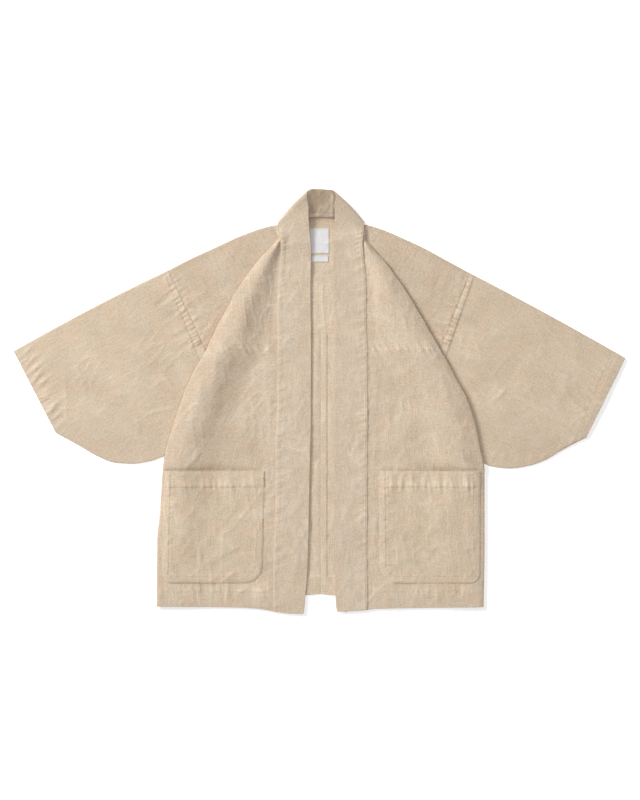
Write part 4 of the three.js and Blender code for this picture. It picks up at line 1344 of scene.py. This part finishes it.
def stitch_row(tree, path, spacing, seed):
    """Places, directions and normals of stitches along a path, dropped onto the cloth."""
    run = np.concatenate([[0], np.cumsum(np.linalg.norm(np.diff(path, axis=0), axis=1))])
    s = np.arange(spacing / 2, run[-1], spacing)
    s = s + np.random.default_rng(seed).uniform(-0.3, 0.3, len(s))
    x, y = (np.interp(s, run, path[:, k]) for k in (0, 1))
    ahead_x, ahead_y = (np.interp(s + 1, run, path[:, k]) for k in (0, 1))
    found = []
    for x0, y0, x1, y1 in zip(x, y, ahead_x, ahead_y):
        hit, normal, _, _ = tree.ray_cast(Vector((x0 * MM, y0 * MM, 0.1)), Vector((0, 0, -1)))
        if hit is not None and math.hypot(x1 - x0, y1 - y0) > 1e-3 and normal.z > 0.3:
            found.append((*hit, x1 - x0, y1 - y0, 0, *normal))
    return found


def stitches(name, cloth, paths, spacing):
    """Thread stitches as small arched capsules: four sections of five points, closed ends."""
    mesh = cloth.data
    points = np.empty(len(mesh.vertices) * 3, np.float32)
    mesh.vertices.foreach_get("co", points)
    corners = np.empty(len(mesh.loops), np.int32)
    mesh.loops.foreach_get("vertex_index", corners)
    tree = BVHTree.FromPolygons(points.reshape(-1, 3).tolist(), corners.reshape(-1, 4).tolist())
    rows = np.array(sum((stitch_row(tree, path, spacing, 900 + k) for k, path in enumerate(paths)), []))
    place, ahead, normal = rows[:, :3], rows[:, 3:6], rows[:, 6:]
    side = unit(np.cross(normal, ahead))
    ahead = np.cross(side, normal)
    t = np.linspace(-1, 1, 4)[:, None]
    around = np.linspace(0, 2 * np.pi, 6)[None, :-1]
    thick = THREAD_WIDTH / 2 * np.array([0.45, 1, 1, 0.45])[:, None]
    rise = 0.7 * thick * np.sin(around) + 0.25 * (1 - t**2) - 0.1
    local = np.stack([t * STITCH / 2 + 0 * around, thick * np.cos(around), rise], 2).reshape(-1, 3)
    points = (place[:, None] + local * MM @ np.stack([ahead, side, normal], 1)).reshape(-1, 3)
    here = np.arange(15)
    beside = here // 5 * 5 + (here + 1) % 5
    walls = np.stack([here, here + 5, beside + 5, beside], 1)
    caps = np.array([(0, 1, 2, 3), (0, 3, 4, 4), (15, 18, 17, 16), (15, 19, 18, 18)])
    base = (np.arange(len(rows)) * 20)[:, None, None]
    faces = (walls[None] + base).reshape(-1, 4).tolist()
    faces += [tuple(dict.fromkeys(face)) for face in (caps[None] + base).reshape(-1, 4).tolist()]
    mesh = bpy.data.meshes.new(name)
    mesh.from_pydata(points.tolist(), [], faces)
    return add_piece(name, mesh)


# Materials


def linear(*srgb):
    """A colour as seen on screen, 0 to 255, as the linear values that a shader takes."""
    parts = [c / 255 for c in srgb]
    parts = [c / 12.92 if c < 0.04 else ((c + 0.055) / 1.055) ** 2.4 for c in parts]
    return (*parts, 1)


class Nodes:
    """Short ways to add nodes to a material and join them.

    The uv map is in metres, so a scale or a stretch counts the features to a metre.
    """

    def __init__(self, name):
        self.material = bpy.data.materials.new(name)
        self.material.use_nodes = True
        self.tree = self.material.node_tree
        self.shader = next(n for n in self.tree.nodes if n.type == "BSDF_PRINCIPLED")

    def fill(self, node, inputs):
        for key, value in inputs.items():
            if isinstance(value, bpy.types.NodeSocket):
                self.tree.links.new(value, node.inputs[key])
            else:
                node.inputs[key].default_value = value

    def set(self, **inputs):
        self.fill(self.shader, {name.replace("_", " "): value for name, value in inputs.items()})

    def add(self, kind, inputs, **values):
        node = self.tree.nodes.new(kind)
        for key, value in values.items():
            setattr(node, key, value)
        self.fill(node, inputs)
        return node

    def place(self):
        return self.add("ShaderNodeUVMap", {}, uv_map="cloth").outputs["UV"]

    def math(self, operation, a, b):
        return self.add("ShaderNodeMath", {0: a, 1: b}, operation=operation).outputs[0]

    def total(self, *parts):
        """The sum of values, each times its weight."""
        scaled = [self.math("MULTIPLY", value, weight) for value, weight in parts]
        total = scaled[0]
        for value in scaled[1:]:
            total = self.math("ADD", total, value)
        return total

    def noise(self, place, scale, stretch=(1, 1, 1), detail=2.0, rough=0.5):
        moved = self.add("ShaderNodeMapping", {"Vector": place, "Scale": stretch}).outputs[0]
        inputs = {"Vector": moved, "Scale": scale, "Detail": detail, "Roughness": rough}
        return self.add("ShaderNodeTexNoise", inputs).outputs["Fac"]

    def wave(self, place, direction, scale, distortion, detail, detail_scale=1):
        inputs = {"Vector": place, "Scale": scale, "Distortion": distortion, "Detail": detail}
        inputs["Detail Scale"] = detail_scale
        return self.add("ShaderNodeTexWave", inputs, bands_direction=direction).outputs["Fac"]

    def ramp(self, value, low, high, start=0.0, end=1.0):
        node = self.add("ShaderNodeValToRGB", {"Fac": value})
        first, last = node.color_ramp.elements
        first.position, last.position = start, end
        first.color, last.color = low, high
        return node.outputs["Color"]

    def bump(self, strength, distance, height):
        inputs = {"Strength": strength, "Distance": distance, "Height": height}
        return self.add("ShaderNodeBump", inputs).outputs["Normal"]


def linen(name, pale, dark, slub):
    """Washed linen canvas: uneven threads both ways, slubs, blotches, and colour from the
    'raised' attribute: ridges paler, partly wear and partly painted highlight, hollows darker
    as painted shade, and each piece's painted light.
    """
    n = Nodes(name)
    place = n.place()
    long_slubs = n.noise(place, 1, (620, 34, 1), 3.0, 0.6)
    cross_slubs = n.noise(place, 1, (30, 560, 1), 2.0, 0.6)
    mottle = n.noise(place, 300, detail=3.0, rough=0.6)
    crinkle = n.noise(place, 1, (125, 62, 1), 3.0, 0.65)
    blotch = n.noise(place, 17, detail=3.0)
    threads = (n.wave(place, way, scale, 1.6, 2, 3) for way, scale in (("X", 150), ("Y", 135)))
    weave = n.math("MULTIPLY", *threads)
    # From the 'raised' attribute, ridges get paler, partly as wear and partly as painted highlight,
    # hollows darker as painted shade, and each piece gets its painted light and shade.
    raised = n.add("ShaderNodeAttribute", {}, attribute_name="raised").outputs["Fac"]

    noises = [(long_slubs, 0.58 * slub), (cross_slubs, 0.3 * slub)]
    noises += [(mottle, 0.85), (crinkle, 0.25), (blotch, 0.3)]
    total = n.total(*noises, (weave, 0.06), (raised, 0.065))
    middle = sum(weight for _, weight in noises) / 2 + 0.05
    half = [(p - d) / 2 for p, d in zip(pale, dark)]
    low, high = [d - h for d, h in zip(dark, half)], [p + h for p, h in zip(pale, half)]
    body = n.ramp(n.math("SUBTRACT", total, middle - 0.5), low, high)
    tint = n.ramp(n.noise(place, 26), (1.0, 0.955, 0.93, 1), (0.97, 0.985, 1.0, 1), 0.3, 0.7)
    mixed = {"Factor": 1, 6: body, 7: tint}
    colour = n.add("ShaderNodeMix", mixed, data_type="RGBA", blend_type="MULTIPLY").outputs[2]
    slubs = ((long_slubs, 0.45), (cross_slubs, 0.27))
    height = n.total((weave, 0.25), (mottle, 0.35), *slubs, (crinkle, 0.9))
    rough = n.math("ADD", n.math("MULTIPLY", mottle, 0.14), 0.82)
    n.set(Base_Color=colour, Roughness=rough, Normal=n.bump(0.7, 0.0014, height))
    n.set(Sheen_Weight=0.12, Sheen_Roughness=0.6, Specular_IOR_Level=0.2)
    return n.material


def label_cloth():
    """Smooth close-woven white tape."""
    n = Nodes("label_cloth")
    place = n.place()
    ribs = n.wave(place, "Y", 420, 0.6, 1)
    colour = n.ramp(n.noise(place, 120), linear(208, 206, 208), linear(220, 218, 220))
    n.set(Base_Color=colour, Roughness=0.62, Normal=n.bump(0.35, 0.0004, ribs), Sheen_Weight=0.1)
    return n.material


def thread():
    n = Nodes("thread")
    place = n.add("ShaderNodeTexCoord", {}).outputs["Object"]
    colour = n.ramp(n.noise(place, 260), linear(188, 166, 138), linear(226, 210, 186))
    n.set(Base_Color=colour, Roughness=0.8)
    return n.material


CLOTH = {"label_cloth": label_cloth()}
for name, pale, dark, slub in (
    ("linen_body", (216, 200, 178), (183, 163, 140), 1.0),
    ("linen_sleeve", (216, 200, 178), (187, 167, 143), 0.55),
    ("linen_band", (216, 201, 180), (185, 167, 145), 0.8),
    ("linen_pocket", (217, 200, 177), (184, 165, 141), 0.8),
):
    CLOTH[name] = linen(name, linear(*pale), linear(*dark), slub)
THREAD = thread()


# Putting the pieces together

bpy.ops.mesh.primitive_plane_add(size=6.0, location=(0, 0, 0))
floor = bpy.context.object
floor.name = "floor"
surface = Nodes("floor")
surface.set(Base_Color=linear(252, 252, 252), Roughness=0.9)
surface.set(Emission_Color=(1, 1, 1, 1), Emission_Strength=0.22)
floor.data.materials.append(surface.material)


def dress(cloth, slot, paths, spacing=3.4):
    node = cloth.name.removesuffix("_cloth")
    cloth.data.materials.append(CLOTH[slot])
    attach(cloth, "root")
    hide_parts(node)
    sewn = stitches(f"{node}_stitching", cloth, paths, spacing)
    sewn.data.materials.append(THREAD)
    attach(sewn, "root")


yoke_paths = [yoke_seam_path(side, up) for side in SIDES for up in (2.5, 7.5)]
yoke_paths += [armhole_path(side, -2.5) for side in SIDES]
yoke_paths += [level_path(-40, 40, BACK_SEAM_Y + up) for up in (3, 8)]
dress(build_yoke(), "linen_body", yoke_paths)
for side in SIDES:
    s = SIGN[side]
    paths = [level_path(s, s * 40, BACK_HEM_Y)]
    if s > 0:
        paths += [np.array([(CENTRE_SEAM_X + at, 130), (CENTRE_SEAM_X + at, -384)]) for at in (2, 10)]
    dress(build_back(side), "linen_body", paths)
    paths = [front_hem_path(side, 324), seam_path(side, -410, 98, 2.5)]
    dress(build_front(side), "linen_body", paths)
    paths = [pocket_outline(side, 2.5), pocket_outline(side, STRIP - 2)]
    paths += [level_path(s * 124, s * 308, POCKET_HEM_Y)]
    dress(build_pocket(side), "linen_pocket", paths)
    paths = [armhole_path(side, 2), armhole_path(side, ARM_FELL), cuff_path(side, CUFF_STITCH)]
    dress(build_sleeve(side), "linen_sleeve", paths)
paths = [seam_path(side, -418, 338, off) for side in SIDES for off in (-4, -9)] + [NECK_STITCH]
dress(build_collar(), "linen_band", paths)
for name, x, y, width, height, seed in (
    ("label_main", -0.3, 319.8, 37.4, 50.4, 801),
    ("label_small", 0.5, 284.3, 33, 13.4, 811),
):
    up, out = height / 2 - 1.3, width / 2 - 1.3
    paths = [level_path(x - out, x + out, y + up), level_path(x - out, x + out, y - up)]
    label = build_label(f"{name}_cloth", x, y, width, height, seed)
    dress(label, "label_cloth", paths, 2.6)


# Camera and light


def area_light(name, place, size, power):
    """A round soft light that shines on the middle of the coat."""
    light = bpy.data.lights.new(name, "AREA")
    light.shape = "DISK"
    light.size = size
    light.energy = power
    thing = bpy.data.objects.new(name, light)
    thing.location = place
    thing.rotation_euler = (-Vector(place)).to_track_quat("-Z", "Y").to_euler()
    bpy.context.collection.objects.link(thing)


area_light("window", (-4.6, 3.5, 3.3), 2.6, 470)
area_light("overhead", (0.4, -0.3, 4.6), 4.0, 97)

world = bpy.data.worlds.new("room")
bpy.context.scene.world = world
world.use_nodes = True
sky = world.node_tree.nodes["Background"].inputs
sky["Color"].default_value = (1, 1, 1, 1)
sky["Strength"].default_value = 0.26

# Straight down, with the coat's place and size in the frame as in the photograph
camera = bpy.data.cameras.new("camera")
camera.sensor_fit = "VERTICAL"
camera.sensor_height = 36
camera.lens = 90
camera.clip_end = 20
eye = bpy.data.objects.new("camera", camera)
eye.location = (0.001, 0.0015, 4.005)
bpy.context.collection.objects.link(eye)
bpy.context.scene.camera = eye
bpy.context.scene.view_settings.view_transform = "Standard"
